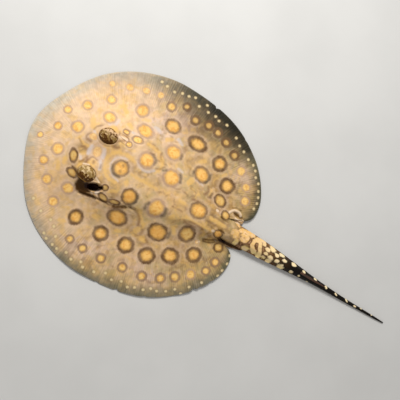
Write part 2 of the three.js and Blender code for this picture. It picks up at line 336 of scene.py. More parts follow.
def head_relief(x, y, z):
    """Eye sockets with their lids, and the spiracles, worked into the skin of the back."""
    x, y, z = x.copy(), y.copy(), z.copy()
    for side in (LEFT, RIGHT):
        ring, u, v = spiracle_ring(side, x, y)
        depth = SPIRACLES[side][5]
        z += SPIRACLE_LIP * np.exp(-((ring - 1.16) / 0.16) ** 2)
        z -= depth * (1 - smooth(0.55, 1.02, ring))
        if side == RIGHT:
            fold = np.exp(-((u + 0.3 * np.sin(v * 0.9)) / 0.7) ** 2)
            z += VALVE_HEIGHT * fold * (1 - smooth(0.7, 1.0, ring))
    for eye in EYES:
        ring = eye.ring(x, y)
        lid = np.exp(-((ring - 1.07) / 0.065) ** 2)
        crease = np.exp(-((ring - 1.28) / 0.08) ** 2)
        z += LID_HEIGHT * lid - LID_CREASE * crease
        inside = clamp01(1 - ring ** 2)
        bowl = eye.centre[2] - eye.size[2] * np.sqrt(inside) - SOCKET_GAP
        z = mix(bowl, z, smooth(0.945, 1.01, ring))
        draw_in = 0.075 * np.exp(-((ring - 1.04) / 0.05) ** 2)
        x -= (x - eye.centre[0]) * draw_in
        y -= (y - eye.centre[1]) * draw_in
    return x, y, z


# ------------------------------------------------------------------ trunk, fins and tail
# Half-width of the trunk's ridge along Y.
TRUNK_HALF = np.array([(0, 19), (15, 16), (30, 12.5), (45, 10), (60, 8.5), (80, 8)], float)
# Thorns of the tail: x off its middle, y, and on the middle row a height.
THORNS = [(0.1, 84, 0.5), (-0.4, 90, 0.55), (0.2, 95.5, 0.5), (-0.3, 101, 0.6), (0.2, 106, 0.5),
          (-0.2, 111, 0.55), (0.2, 116, 0.5), (-0.1, 121, 0.45)]
SIDE_THORNS = [(4.6, 88), (5.0, 95), (4.7, 101), (4.4, 108), (3.9, 114), (3.5, 120)]
SIDE_THORN_HEIGHT = 0.35

FURROW_DEPTH = 1.0                # between trunk and fins
SPINE_HEIGHT = 0.5                # the low keel along the middle of the trunk
# Low waves of the fins' muscles: how many round the ray, their slant, their height.
MUSCLE_WAVES = [(11, 0.08, 0.16), (23, 0, 0.10)]

# The fold between the left flank and the fin, and the curled inner edge of the right lobe.
FOLD_LIP, FOLD_DEPTH = 0.35, 0.7
CURL_HEIGHT, CURL_HOLLOW = 1.3, 0.6
TRUNK_FOLD = [(27.2, -27.5), (26.2, -22.5), (25.3, -17.6), (24.8, -12), (24.6, -8), (23.2, -3.8),
              (21.2, 0.4), (19.6, 5), (19, 9.4)]
NOTCH_CURL = [(-14.8, 78.6), (-16.0, 77.2), (-16.4, 74.6), (-15.6, 71.8), (-12.8, 69.4)]


def back_relief(x, y, plain_x, inward, tail):
    """Height added to the smooth back: swellings, trunk, fin undulations, tail thorns."""
    rise = sum(swelling(x, y, *row) for row in SWELLINGS)
    half = np.interp(y, TRUNK_HALF[:, 0], TRUNK_HALF[:, 1])
    away = np.abs(plain_x)
    window = smooth(-6, 14, y) * (1 - smooth(66, 76, y))
    furrow = smooth(half - 1, half + 3.5, away) * (1 - smooth(half + 4, half + 15, away))
    rise -= FURROW_DEPTH * furrow * window
    fold = stroke_distance(x, y, [(0.0, TRUNK_FOLD)])
    rise += FOLD_LIP * np.exp(-((fold - 1.3) / 0.7) ** 2)
    rise -= FOLD_DEPTH * np.exp(-(fold / 0.7) ** 2)
    curl = stroke_distance(x, y, [(0.0, NOTCH_CURL)])
    rise += CURL_HEIGHT * np.exp(-(curl / 0.75) ** 2)
    rise -= swelling(x, y, -14.6, 75.2, 1.0, 2.4, CURL_HOLLOW)
    spine = np.exp(-(plain_x / 2.4) ** 2) * smooth(12, 30, y) * (1 - smooth(70, 85, y))
    rise += SPINE_HEIGHT * spine
    on_fin = (1 - tail) * smooth(1.5, 12, inward) * smooth(20, 34, away)
    angle = np.arctan2(plain_x, DISC_CENTRE_Y - y)
    for count, slant, height in MUSCLE_WAVES:
        rise += on_fin * height * np.sin(count * angle + slant * inward)
    for offset, at, height in THORNS:
        centre = sway(np.float64(at)) + offset
        rise += height * np.exp(-((x - centre) ** 2 + (y - at) ** 2) / 0.55) * (y > 80)
    for offset, at in SIDE_THORNS:
        for side in (LEFT, RIGHT):
            centre = sway(np.float64(at)) + side * offset
            rise += SIDE_THORN_HEIGHT * np.exp(-((x - centre) ** 2 + ((y - at) / 1.6) ** 2) / 0.4)
    return rise


# Underside: mouth, nostrils with the flap between them, gill slits, vent.
MOUTH_Y, MOUTH_HALF, MOUTH_DEPTH = -48.0, 8.2, 1.5
LIP_DEPTH = 0.35
NOSTRIL, NOSTRIL_DEPTH = (6.3, -53.5), 1.1
CURTAIN_Y, CURTAIN_DEPTH = -50.6, 0.4
GILLS = [(17.5, -33), (17.3, -27), (16.6, -21), (15.6, -15), (14.2, -9)]
GILL_HALF, GILL_DEPTH = 2.6, 0.9
VENT_Y, VENT_DEPTH = 55.5, 1.0
# Outline of a pelvic fin.
PELVIC = np.array([(4, 60), (14, 53.5), (24, 57.5), (31, 66), (31.5, 75.5), (24, 82.5),
                   (15, 84.6), (9.6, 82), (4, 74)], float)


def belly_relief(x, y):
    """How far the belly's skin is drawn up into the body: it lies on the floor elsewhere."""
    across = np.abs(x)
    lip_y = MOUTH_Y + 0.9 * np.cos(np.pi * clamp01(across / MOUTH_HALF))
    within = 1 - smooth(MOUTH_HALF - 1.5, MOUTH_HALF + 0.6, across)
    rise = MOUTH_DEPTH * np.exp(-((y - lip_y) / 0.55) ** 2) * within
    rise += LIP_DEPTH * np.exp(-((y - MOUTH_Y) / 2.6) ** 2) * (1 - smooth(7, 12, across))
    rise += swelling(across, y, *NOSTRIL, 1.3, 0.9, NOSTRIL_DEPTH)
    curtain = np.exp(-((y - CURTAIN_Y) / 0.35) ** 2) * (1 - smooth(5.2, 7, across))
    rise += CURTAIN_DEPTH * curtain
    for gill_x, gill_y in GILLS:
        bow = gill_y + 0.12 * (across - gill_x) ** 2
        ends = 1 - smooth(GILL_HALF - 0.7, GILL_HALF + 0.3, np.abs(across - gill_x))
        rise += GILL_DEPTH * np.exp(-((y - bow) / 0.42) ** 2) * ends
    return rise + swelling(x, y, 0, VENT_Y, 1.2, 3.0, VENT_DEPTH)


def shape_skin(points):
    """Places of the skin's points in space, from the flat plan."""
    plain_x, y, inward, edge_x, edge_y, row, _, face = points.T
    tail = smooth(LOBE_END, NOTCH_ROW + 1.5, row)
    away = np.abs(plain_x)
    edge_radius = mix(EDGE_ROUND, edge_x, tail)
    bend = np.sqrt(1 - (1 - clamp01(inward / edge_radius)) ** 2)
    ripple = LIFT + WAVE * np.cos(WAVE_COUNT * np.arctan2(edge_x, DISC_CENTRE_Y - edge_y))
    lift = np.maximum(ripple, REAR_LIFT * smooth(REAR_FROM, REAR_TO, edge_y)) * (1 - tail)
    tail_height = read_table(BACK, edge_y)[0]
    middle = mix(lift + RIM / 2, TAIL_MIDDLE * tail_height, tail)
    half = np.minimum(mix(EDGE, RIM / 2, tail), EDGE_SHARE * tail_height)
    bottom = lift * (1 - smooth(0, LIFT_REACH, inward))

    height, width = read_table(BACK, y)
    blade = bottom + RIM + (BLADE - RIM) * (1 - np.exp(-inward / BLADE_REACH))
    across = away / width
    hump = (1 - smooth(FLANK_START, 1, across)) * (1 - CROWN * across ** 2)
    top = blade + np.maximum(0, height - blade) * hump
    x = plain_x + sway(y) * (1 - away / (DISC_WIDTH / 2))
    for eye in EYES:
        from_eye = np.hypot(x - eye.centre[0], y - eye.centre[1])
        top += ORBIT_HEIGHT * np.exp(-(from_eye / ORBIT_SPREAD) ** 2)
    top += back_relief(x, y, plain_x, inward, tail) * smooth(0.5, 4, inward + 4 * tail)
    top = middle + half + (top - middle - half) * bend
    head_x, head_y, head_z = head_relief(x, y, top)

    bottom = middle - half - (middle - half - bottom) * bend
    bottom += belly_relief(x, y) * smooth(6, 14, inward)
    room = smooth(0.6, -0.6, inside_outline(away, y, PELVIC)) * (1 - tail)
    bottom = np.maximum(bottom, PELVIC_ROOM * room)
    on_top = face > 0.5
    return np.where(on_top[:, None],
                    np.column_stack([head_x, head_y, head_z]),
                    np.column_stack([x, y, bottom]))


def segment_distance(x, y, start, end):
    """Distance to the straight line between two points."""
    (ax, ay), (bx, by) = start, end
    length = (bx - ax) ** 2 + (by - ay) ** 2 + 1e-9
    t = clamp01(((x - ax) * (bx - ax) + (y - ay) * (by - ay)) / length)
    return np.hypot(x - ax - t * (bx - ax), y - ay - t * (by - ay))


def inside_outline(x, y, corners):
    """Distance to the smooth closed outline through the corners, negative inside."""
    loop = closed_curve(corners, 96)
    ends = np.roll(loop, -1, axis=0)
    distance = np.full(x.shape, 1e9)
    crossings = np.zeros(x.shape, int)
    for (ax, ay), (bx, by) in zip(loop, ends):
        distance = np.minimum(distance, segment_distance(x, y, (ax, ay), (bx, by)))
        spans = (ay > y) != (by > y)
        cut = ax + (y - ay) * (bx - ax) / (by - ay if by != ay else 1e-9)
        crossings += spans & (x < cut)
    return np.where(crossings % 2 == 1, -distance, distance)


def closed_curve(corners, count):
    """Points on the smooth closed curve through the corners."""
    wrapped = np.vstack([corners[-1:], corners, corners[:2]])
    return through(wrapped, 1 + np.linspace(0, len(corners), count, endpoint=False))


# ------------------------------------------------------------------ markings, with painted shade and highlights
# Ocelli, in groups that look alike. Each group: share of the light centre, darkness of the
# ring, tone of the centre (orange above 0, olive below), then x, y, half-width, half-length
# and a turn in degrees where an ocellus has one.
BACK_OCELLI = (0.8, 0.66, 0.4, [
    (0, -12.5, 5.6, 5.6), (-2.1, 47.7, 5.9, 6.6), (-25.6, 38.4, 5.5, 6.5, -28), (-44.5, 4, 5, 6.1),
])
WARM_OCELLI = (0.78, 0.84, 0.55, [
    (29.2, 2, 5.6, 7.2), (5, 68.8, 3, 3.7),
])
MILD_OCELLI = (0.8, 0.52, 0.32, [
    (-11.8, 20, 6.2, 6.6), (-28.4, 13.2, 5.6, 6.3), (-30.9, -10.6, 4.9, 6.3),
    (-42.7, -19.3, 4.9, 4.9), (-13.3, -0.6, 5.7, 5.8), (11.2, 21.2, 6.6, 6.2),
])
DEEP_OCELLI = (0.78, 0.95, 0.62, [
    (24.7, 31.2, 6.2, 7.3), (13.4, 1.6, 5.7, 5.4, 20),
])
OLIVE_OCELLI = (0.74, 0.92, -0.42, [
    (15.7, 49.8, 6.1, 6.1), (-9.2, 67.2, 3.4, 3.7), (-16.4, 59.2, 4.3, 5.3, -12),
    (12.9, 75.4, 3.6, 3.8),
])
FIN_OCELLI = (0.69, 0.96, 0.34, [
    (-43, 25.1, 5.2, 7.4), (-39.2, 46, 5.6, 5.6), (-28.3, 58.7, 5.6, 5.8), (43, 16.7, 5.8, 5.8),
    (34.8, 47.5, 5.8, 6.4), (26.1, 62, 5.6, 5.6), (44.3, -2, 5.4, 5.4), (42.7, -21.7, 5.5, 4.9),
    (42.4, 33, 5.9, 5.9),
])
FRONT_OCELLI = (0.78, 0.5, 0.1, [
    (-26.3, -35.6, 4.3, 4.7), (-38.1, -41, 3.6, 3.6), (-26.3, -52.3, 3.6, 3.6),
    (-10, -50.3, 4.4, 4.4), (-17, -61.7, 2.9, 2.9), (-4.2, -61.7, 3, 3), (28.3, -35.5, 3.9, 4.6),
    (40.8, -39.7, 3.8, 3.8), (30, -50.3, 3.6, 3.6), (9, -54, 4.3, 4.3), (20, -58.3, 3.3, 3.3),
    (6.7, -68.7, 2.2, 2.2),
])
RIM_OCELLI = (0.68, 0.6, -0.16, [
    (23.2, 78.6, 3.6, 3.6), (31.9, 75.8, 3.3, 3.3), (46.1, 58.1, 3.9, 3.9), (51.7, 49.5, 3.8, 3.8),
    (56.5, 37.3, 3.7, 3.7), (57.5, 22.5, 3.5, 3.5), (59, 6.7, 3.5, 3.5), (59, -7.3, 3.2, 3.2),
    (57.5, -17.7, 3, 3), (-56, -3.7, 3.7, 3.7),
])
RIGHT_RIM_OCELLI = (0.58, 0.85, -0.62, [
    (-50.1, 52.5, 3.7, 3.9), (-55, 42.7, 3.6, 3.7), (-58, 34.1, 3.6, 3.5), (-58.8, 25.7, 3.7, 3.6),
    (-56.8, 15.5, 3.7, 3.7), (-62, 5.7, 3.1, 3.1),
])
PALE_RIM_OCELLI = (0.78, 0.4, -0.16, [
    (-25.7, 76, 3.7, 3.7), (-34.7, 71.7, 3.3, 3.5), (-43, 62.7, 3.9, 3.7), (39.2, 67.3, 3.7, 3.7),
])
FAINT_OCELLI = (0.8, 0.24, 0.1, [
    (-59, -14, 2.9, 3), (-56.3, -24, 3, 3.2), (-52.3, -34.7, 2.9, 3.4), (-48, -46, 2.6, 2.6),
    # The last of these, at (17.3, 59.3), is a painted highlight on the left of the trunk.
    (17.3, 59.3, 1.7, 1.7),
])
GOLDEN_SPOTS = (0.92, 0.04, 0.05, [
    (-1.7, -31, 3.9, 3, 8), (-9.1, -38.2, 2.4, 3.2),
])
RIGHT_OVALS = (0.76, 0.58, -0.05, [
    (-22.3, -12.3, 2.7, 4.2, 8), (-16.4, -15.7, 2.2, 2.3), (-23.1, -21.4, 1.9, 2.6),
])
LEFT_OVALS = (0.66, 0.95, -0.85, [
    (22.4, -12.9, 2.3, 4.3, -18), (21.3, -5, 1.8, 4.4, 14), (16.2, -15, 2.3, 2.5),
])
SNOUT_OVALS = (0.7, 0.95, -0.6, [
    (7.9, -43, 5, 2.9, 30), (18.2, -38.2, 2.9, 4.4, -12),
])
OCELLUS_GROUPS = [
    BACK_OCELLI, WARM_OCELLI, MILD_OCELLI, DEEP_OCELLI, OLIVE_OCELLI, FIN_OCELLI, FRONT_OCELLI,
    RIM_OCELLI, RIGHT_RIM_OCELLI, PALE_RIM_OCELLI, FAINT_OCELLI, GOLDEN_SPOTS, RIGHT_OVALS,
    LEFT_OVALS, SNOUT_OVALS,
]

# Cream dots along the margin, x and y.
MARGIN_DOTS = [
    (-24.3, 84.7), (-28.8, 84.8), (-33, 83.5), (-37, 81.3), (-41.8, 78.5), (-44.7, 74.5),
    (-48.7, 71.8), (-51.5, 68.5), (-53.2, 63.2), (-56.3, 57.5), (-58.3, 52.5), (-61.9, 47.5),
    (-66.3, 37), (-65.8, 30.5), (-67.3, 26.8), (-66.9, 20.7), (-71, 17.7), (-67.1, 13), (-71, 7.7),
    (-69.2, 3.2), (-68.5, -1.7), (-66.3, -7), (-67, -13.3), (-67.7, -18), (14, 86), (20, 87.2),
    (25.9, 86.3), (30.8, 85.5), (40.5, 77.3), (47.5, 70.8), (54.5, 68), (53.7, 62.7), (57.9, 57.7),
    (60.8, 51.9), (61.2, 47.3), (64.3, 43), (65.7, 37), (67.8, 32.5), (66.3, 26.8), (68.5, 20.5),
    (66.3, 14.5), (69.3, 7.3), (70, -0.9), (67.5, -3.7), (69, -10.3), (66.5, -15.3), (67.3, -22),
    (66.3, -25.8), (60.5, -26.7), (64.7, -31.3), (55.2, -31), (62.3, -34.3), (52.3, -35),
    (50.3, -43.3), (45.3, -51.5),
]

# Pale blotches of the tail, written like the ocelli.
TAIL_BLOTCHES = [
    (-1.4, 79.8, 3.2, 3.6), (-8.2, 79.4, 1.1, 2.8, -25), (3.5, 83.4, 2.5, 2),
    (-7.2, 92.6, 1.7, 2.7), (3.8, 92.4, 2.3, 2.8), (-8.1, 89.6, 0.6, 1.5, 20),
    (-5.7, 111.4, 2, 2.9, -20), (-3.4, 107.4, 1.7, 2.3), (-0.3, 107.3, 1.3, 1.9),
    (2.9, 107.6, 1.4, 1.8), (1.2, 112.3, 2.1, 2.2), (3.4, 112.6, 1.8, 2.2), (-3.3, 115.8, 1.4, 2.1),
    (0.4, 117.8, 1.6, 1.8), (-5.2, 120.2, 1.2, 2.6, 10), (-2.6, 123.2, 1.2, 2, 8),
    (2.6, 123, 1.8, 2.5), (-3.6, 131.6, 1.3, 2.4), (2, 132.5, 1, 1.8), (-2.9, 141.6, 0.9, 1.4),
    (1.6, 139.4, 0.8, 1.1), (-2.4, 153, 0.75, 1.5), (2.4, 148.2, 0.5, 1.1),
    (-1.4, 163.7, 0.9, 1.3, -20), (-0.6, 174, 0.7, 1.7, -28), (-0.6, 184.5, 0.65, 2.1, -36),
    (0, 192.8, 0.7, 1.4), (-0.8, 198.7, 0.45, 1), (-0.6, 209.4, 0.35, 0.8),
]
# Pale bands that join them in a net over the tail root: half-width, then the points.
TAIL_BANDS = [
    (1.55, [(-5.8, 103.8), (-7.2, 102.6), (-7.3, 100.4), (-6.4, 98.2), (-5.2, 96.6), (-3.5, 95.2)]),
    (1.5, [(-5.4, 99.4), (-3.2, 100.6), (-1, 101.5), (1.4, 102.6), (3.4, 103.6), (4.4, 104.2)]),
    (1.6, [(-3.5, 95.2), (-1.7, 94.8), (0.4, 95.5), (2, 97.4), (2.8, 99.4)]),
    (1.6, [(-6.5, 91.2), (-6.4, 85.2), (-5.2, 82.8)]),
    (1.55, [(-2.4, 89.4), (-0.6, 88.8), (-0.1, 87.2), (-1, 85.7), (-3, 85.2), (-3.9, 86.8),
            (-3.7, 88.6), (-2.4, 89.4)]),
]
BAND_SCALE = 1.6                  # outside a band, this far counts as a blotch's half-width

# Strokes and patches of pigment, and of painted shade and highlights: half-width, then the points they
# run through.
# Golden lines and flecks between the ocelli.
GOLD = [
    (1.1, [(-8, -6.5), (-9.4, -11), (-9.2, -16), (-7.2, -21), (-2.6, -23.3), (2.4, -22.8),
            (7, -20.4), (9.6, -16), (10, -11)]),
    (1.9, [(4.4, -30.4), (6.6, -28.8), (6.8, -31.4)]),
    (0.9, [(-2.2, -38.2), (-1.9, -41.5), (-4.4, -45.4)]), (0.9, [(-14.8, -18.2), (-14, -21)]),
    (0.7, [(3.4, -37.6), (4.8, -38.8)]), (0.9, [(-19.6, 49.8), (-16, 50.4)]),
    (1.3, [(-1.9, 57.8), (-1.8, 70.6)]), (1.1, [(14.4, -7.4), (15.6, -9.6), (17.2, -11.8)]),
    (1.6, [(11.5, -36.2), (12.5, -36.4)]), (1, [(0, -5), (0.2, 2), (-0.2, 10), (-0.3, 15)]),
    (1.5, [(-39, -12), (-37.6, -16)]), (1.3, [(50, -30), (48.6, -27)]),
    (1.5, [(15, -46), (12.6, -47)]), (1.6, [(-29, -22), (-27.6, -20)]),
    (1.5, [(6.2, -5), (7.6, -4)]), (1.4, [(-1.3, 36), (-1.2, 33)]), (1.5, [(-39, -31), (-37, -33)]),
    (1.2, [(-23.8, -5), (-23.6, 0), (-22.8, 4)]), (1.2, [(-19.5, 8.2), (-15, 10), (-11, 9.8)]),
    (1.3, [(18.2, 12), (22, 16), (25.4, 20)]), (2, [(29.4, 18.4), (31, 17.6)]),
    (2, [(-18.6, 33.6), (-15.2, 32.4)]), (1.6, [(10.2, 34.4), (11.4, 33.2)]),
    (0.7, [(11.2, 68), (13, 64.4)]), (1, [(5.6, 42), (5.8, 50), (5.6, 58), (5.2, 63)]),
    (1.6, [(-34, 5), (-36, 8)]), (1.5, [(-35.5, 36), (-33, 33)]), (1.4, [(36.6, 8), (37.4, 6)]),
    (1.3, [(36, -12), (35, -9)]), (1.6, [(-21.5, -30.6), (-20.8, -28.4)]),
    (1.5, [(33.8, 23.6), (34.6, 26)]), (1.4, [(16.8, 39), (19.6, 41.6)]),
    (1.3, [(-33, 52.6), (-34.6, 54)]), (1.8, [(-15, -41.6), (-19.6, -44.4)]),
    (1.5, [(-37, -30), (-35.4, -28)]), (1.5, [(16.6, -49.6), (20.2, -47.6)]),
]
# Pale greyish pink, mostly round the eyes and the ocelli of the middle.
LILAC = [
    (1.2, [(-5.2, -27.6), (-3, -27), (0, -26.2)]), (0.9, [(2, -26.2), (5.2, -24.8), (7.4, -24)]),
    (1.3, [(-3, -36), (1.8, -35.6)]), (0.7, [(-12.6, -39.4), (-12.2, -38.8)]),
    (0.55, [(8.2, -10), (6.6, -15), (3.4, -18.2), (-1.4, -19.6), (-5.6, -17), (-6.8, -12)]),
    (0.8, [(-9.2, -5), (-6.6, -1), (-6.6, 3), (-9.6, 6.8)]), (0.8, [(-20.5, 36.4), (-19.4, 42)]),
    (1.1, [(-38.6, 11.4), (-36.8, 15.6)]), (1.2, [(-37, -6), (-36.4, -1.6)]),
    (0.9, [(5.6, -39), (7.6, -38)]), (0.9, [(-19.6, 25), (-20, 21)]),
    (1, [(22, -18.2), (20.4, -17.6)]), (1.1, [(-27.6, -29.6), (-24, -30.2), (-22, -33.4)]),
    (0.9, [(-25.8, -14), (-25, -17.4)]),
]
# Brown lines and flecks.
SEPIA = [
    (0.3, [(-2.7, 1), (-2.9, 4.4)]), (0.4, [(-25.6, -6), (-25.2, -1), (-23.6, 3)]),
    (0.8, [(-2.4, -12.2), (-2, -11.8)]), (0.8, [(1.9, -12.2), (2.1, -11.6)]),
    (0.9, [(4.7, -29.9), (5.7, -29.5)]),
    (0.45, [(3, -28.8), (2.6, -31.6), (4.6, -33.2), (8.2, -32.8), (8.8, -30)]),
    (0.5, [(-4.1, 57), (-4.2, 63), (-3.8, 70)]), (0.5, [(0.8, 57), (1, 63), (0.5, 70)]),
    (0.9, [(9, 42.4), (9.4, 47), (8.8, 52)]), (0.7, [(7.4, 57), (7.2, 49), (8.8, 42)]),
    (0.35, [(8.8, 41), (11.6, 37.6), (14.6, 35.6)]), (0.8, [(-18, 51.8), (-13.8, 50)]),
    (0.8, [(19.4, 9.6), (20.4, 12.6), (23, 15.6), (26.4, 16.6)]), (0.6, [(33.4, 26.8), (34, 28.6)]),
    (0.9, [(5.2, -34.2), (7.6, -33.8)]), (0.9, [(24.6, -4.2), (26.4, -5.8)]),
    (0.6, [(18.7, 9), (18.6, 11.4)]), (0.4, [(-2.1, 87.4), (-2, 87)]),
    (0.9, [(-10.9, -20.6), (-9.6, -23.4)]), (0.9, [(-5.8, -38.2), (-5.9, -40.8)]),
    (0.45, [(-5.8, -41.4), (-8, -42.2), (-11, -40.8)]), (1.1, [(-0.5, -39.8), (0, -41)]),
    (0.4, [(-18.8, -36.8), (-16.4, -39.4), (-13.6, -40.4)]), (0.4, [(-1.4, -42), (-3.6, -45.4)]),
    (0.45, [(-17, -19.6), (-15.4, -21.6), (-13.4, -23.8)]), (0.4, [(-20.4, -25), (-18.4, -24)]),
    (0.6, [(4.6, -24.6), (6.6, -24.2)]), (0.5, [(7.2, -35.6), (9.4, -37.6)]),
    (0.5, [(-18.4, -17.2), (-20.6, -19.2), (-21.9, -22.8)]), (0.4, [(-24.9, -19.4), (-24.7, -23)]),
    (0.6, [(-21.3, -19.2), (-21.7, -22.8)]), (0.3, [(25, 24), (27, 22), (30, 22.4)]),
    (0.4, [(-8.6, 31), (-7, 36)]), (0.4, [(4.4, 30), (4.2, 38)]),
    (0.4, [(15.4, -17.6), (13.9, -20.4), (13.3, -22.6)]), (0.4, [(20, -3), (19.6, -8)]),
    (0.9, [(-14.2, 46), (-17.4, 48), (-20.6, 46.6)]),
    (0.6, [(-15.6, 12), (-13.4, 10.6), (-11.6, 7.6)]),
    (0.5, [(-23.6, 6), (-20.8, 6.4), (-18.4, 8.6)]), (0.7, [(-19.4, 2.2), (-19, -0.6)]),
    (0.6, [(-7.6, 44), (-6.8, 40)]), (0.5, [(28.6, 21), (32, 21.4), (34.4, 19)]),
]
# Dark lines: painted shadow along the fold beside the left eye and down the left flank, and in the
# creases of the notches; dark brown pigment at the tail root and round some marks.
UMBER_AND_SHADOW = [
    (0.85, [(26.8, -27), (26.1, -24), (25.7, -20), (25.3, -16.6)]),
    (0.65, [(24.9, -15.4), (24.4, -8), (24, -4.4)]),
    (1.2, [(24, -4.2), (23.2, -2), (21.8, 0.4), (20.6, 3)]),
    (0.6, [(20.2, 3.2), (19.2, 6), (18.7, 9)]), (0.5, [(10.2, 71.6), (13.2, 67.6), (14.4, 62.6)]),
    (0.35, [(9.2, 70), (11.4, 66.4), (12.6, 63)]), (1, [(-14.2, 79.4), (-14, 76), (-14.3, 73.6)]),
    (0.35, [(-18.2, 77), (-18.2, 73.4), (-16.8, 70.6)]), (0.7, [(2.3, 72), (1.9, 69), (2.4, 66.4)]),
    (0.5, [(-5.9, 70.6), (-5.6, 67), (-6.4, 64.6)]), (0.5, [(-1.8, 84.4), (-1.6, 83.4)]),
    (0.4, [(1.2, 85.2), (3.8, 86.4)]), (0.45, [(1.8, 93.8), (1.9, 91.2)]),
    (0.7, [(16.6, -35.2), (15, -37.4), (14.6, -40)]),
]
# Light skin, mostly the lips of the spiracles and the edges of the notches, with painted highlights: a
# glint by the left eye, a glint in the left notch's crease and a pale patch on the left of the trunk.
CREAM_AND_HIGHLIGHTS = [
    (0.9, [(-18.6, -18.6), (-18.3, -20.8), (-17.6, -23.4)]), (0.3, [(20.8, -17), (22.4, -18.6)]),
    (0.5, [(23.4, -21.2), (23.7, -20.2)]), (0.5, [(8.4, -31.4), (9.4, -34.8)]), (0.9, NOTCH_CURL),
    (0.5, [(14.9, -20.2), (13.6, -23.2)]), (0.5, [(4.6, 94), (4.9, 91.4)]),
    (0.7, [(-12.4, 81.6), (-11.3, 78.6), (-11.2, 75.6)]), (0.6, [(-9.7, 82), (-9.2, 77)]),
    (0.5, [(15.8, 61), (17.4, 59.2)]), (0.8, [(4.7, 64.8), (4.8, 64)]),
    (0.9, [(-9.2, 60.4), (-9, 59.6)]), (0.35, [(9.9, 71.2), (9.6, 69.8)]),
]
# Greyish arcs along the rims of some ocelli.
SLATE = [
    (1.2, [(8.4, 27.4), (11, 28.2), (13.6, 27.4)]), (1.1, [(10.6, 14.8), (12.8, 14), (15, 14.4)]),
    (0.8, [(9.6, 6), (13.6, 7), (17.6, 5.4)]), (0.8, [(-18.8, 1.6), (-17, 4.6), (-13.6, 5.2)]),
    (0.9, [(-17.4, 24.2), (-15.4, 26), (-12.2, 26.6)]), (0.7, [(-14.6, 14.2), (-13.2, 12.4)]),
    (0.8, [(1, -18.2), (4.2, -16.8), (5.8, -14.6), (5.8, -11)]),
    (0.7, [(-30.6, 19.2), (-27.2, 19.8)]), (0.8, [(-29, 44), (-25, 44.8), (-22, 43)]),
    (0.6, [(-17.4, 51.2), (-14.6, 51.4)]), (0.7, [(-24.8, 31.8), (-21.4, 32.8)]),
    (0.8, [(20.6, 38.6), (24.6, 39.6)]),
]
# Painted shade: the left eye's shadow beside and behind it, over skin that is partly dark, and the
# shadow along the tail's left flank and on the flap in the left notch.
SHADE = [
    (3.7, [(22.6, -26.8), (23.6, -28.8)]), (2.6, [(20.2, -30.4), (23, -30.6)]),
    (2, [(25.4, -30), (25.6, -24.6)]), (1.3, [(25.6, -24.4), (25, -19)]),
    (1.6, [(23.6, -23.6), (24.6, -25)]), (1.5, [(7.8, 71.5), (7.6, 78), (7.2, 84)]),
    (1, [(6.9, 84), (6.7, 90), (6.4, 97)]), (0.9, [(8.2, 72), (9.8, 69.8)]),
    (0.5, [(9.8, 70), (12.2, 66), (13.2, 62)]),
]
# Painted black shade in the opening of the left spiracle and next to the left eye, and in the deepest
# part of the left notch.
BLACK_SHADE = [
    (0.9, [(8, 72.6), (7.6, 77)]), (1.1, [(17.2, -16.8), (18.2, -19)]),
    (2.5, [(18.8, -20.6), (20.2, -23.4)]), (2, [(20.2, -23.6), (20.6, -25.6)]),
]

STROKES = {"gold": GOLD, "lilac": LILAC, "sepia": SEPIA, "umber": UMBER_AND_SHADOW, "cream": CREAM_AND_HIGHLIGHTS,
           "slate": SLATE, "shade": SHADE, "black_shade": BLACK_SHADE}

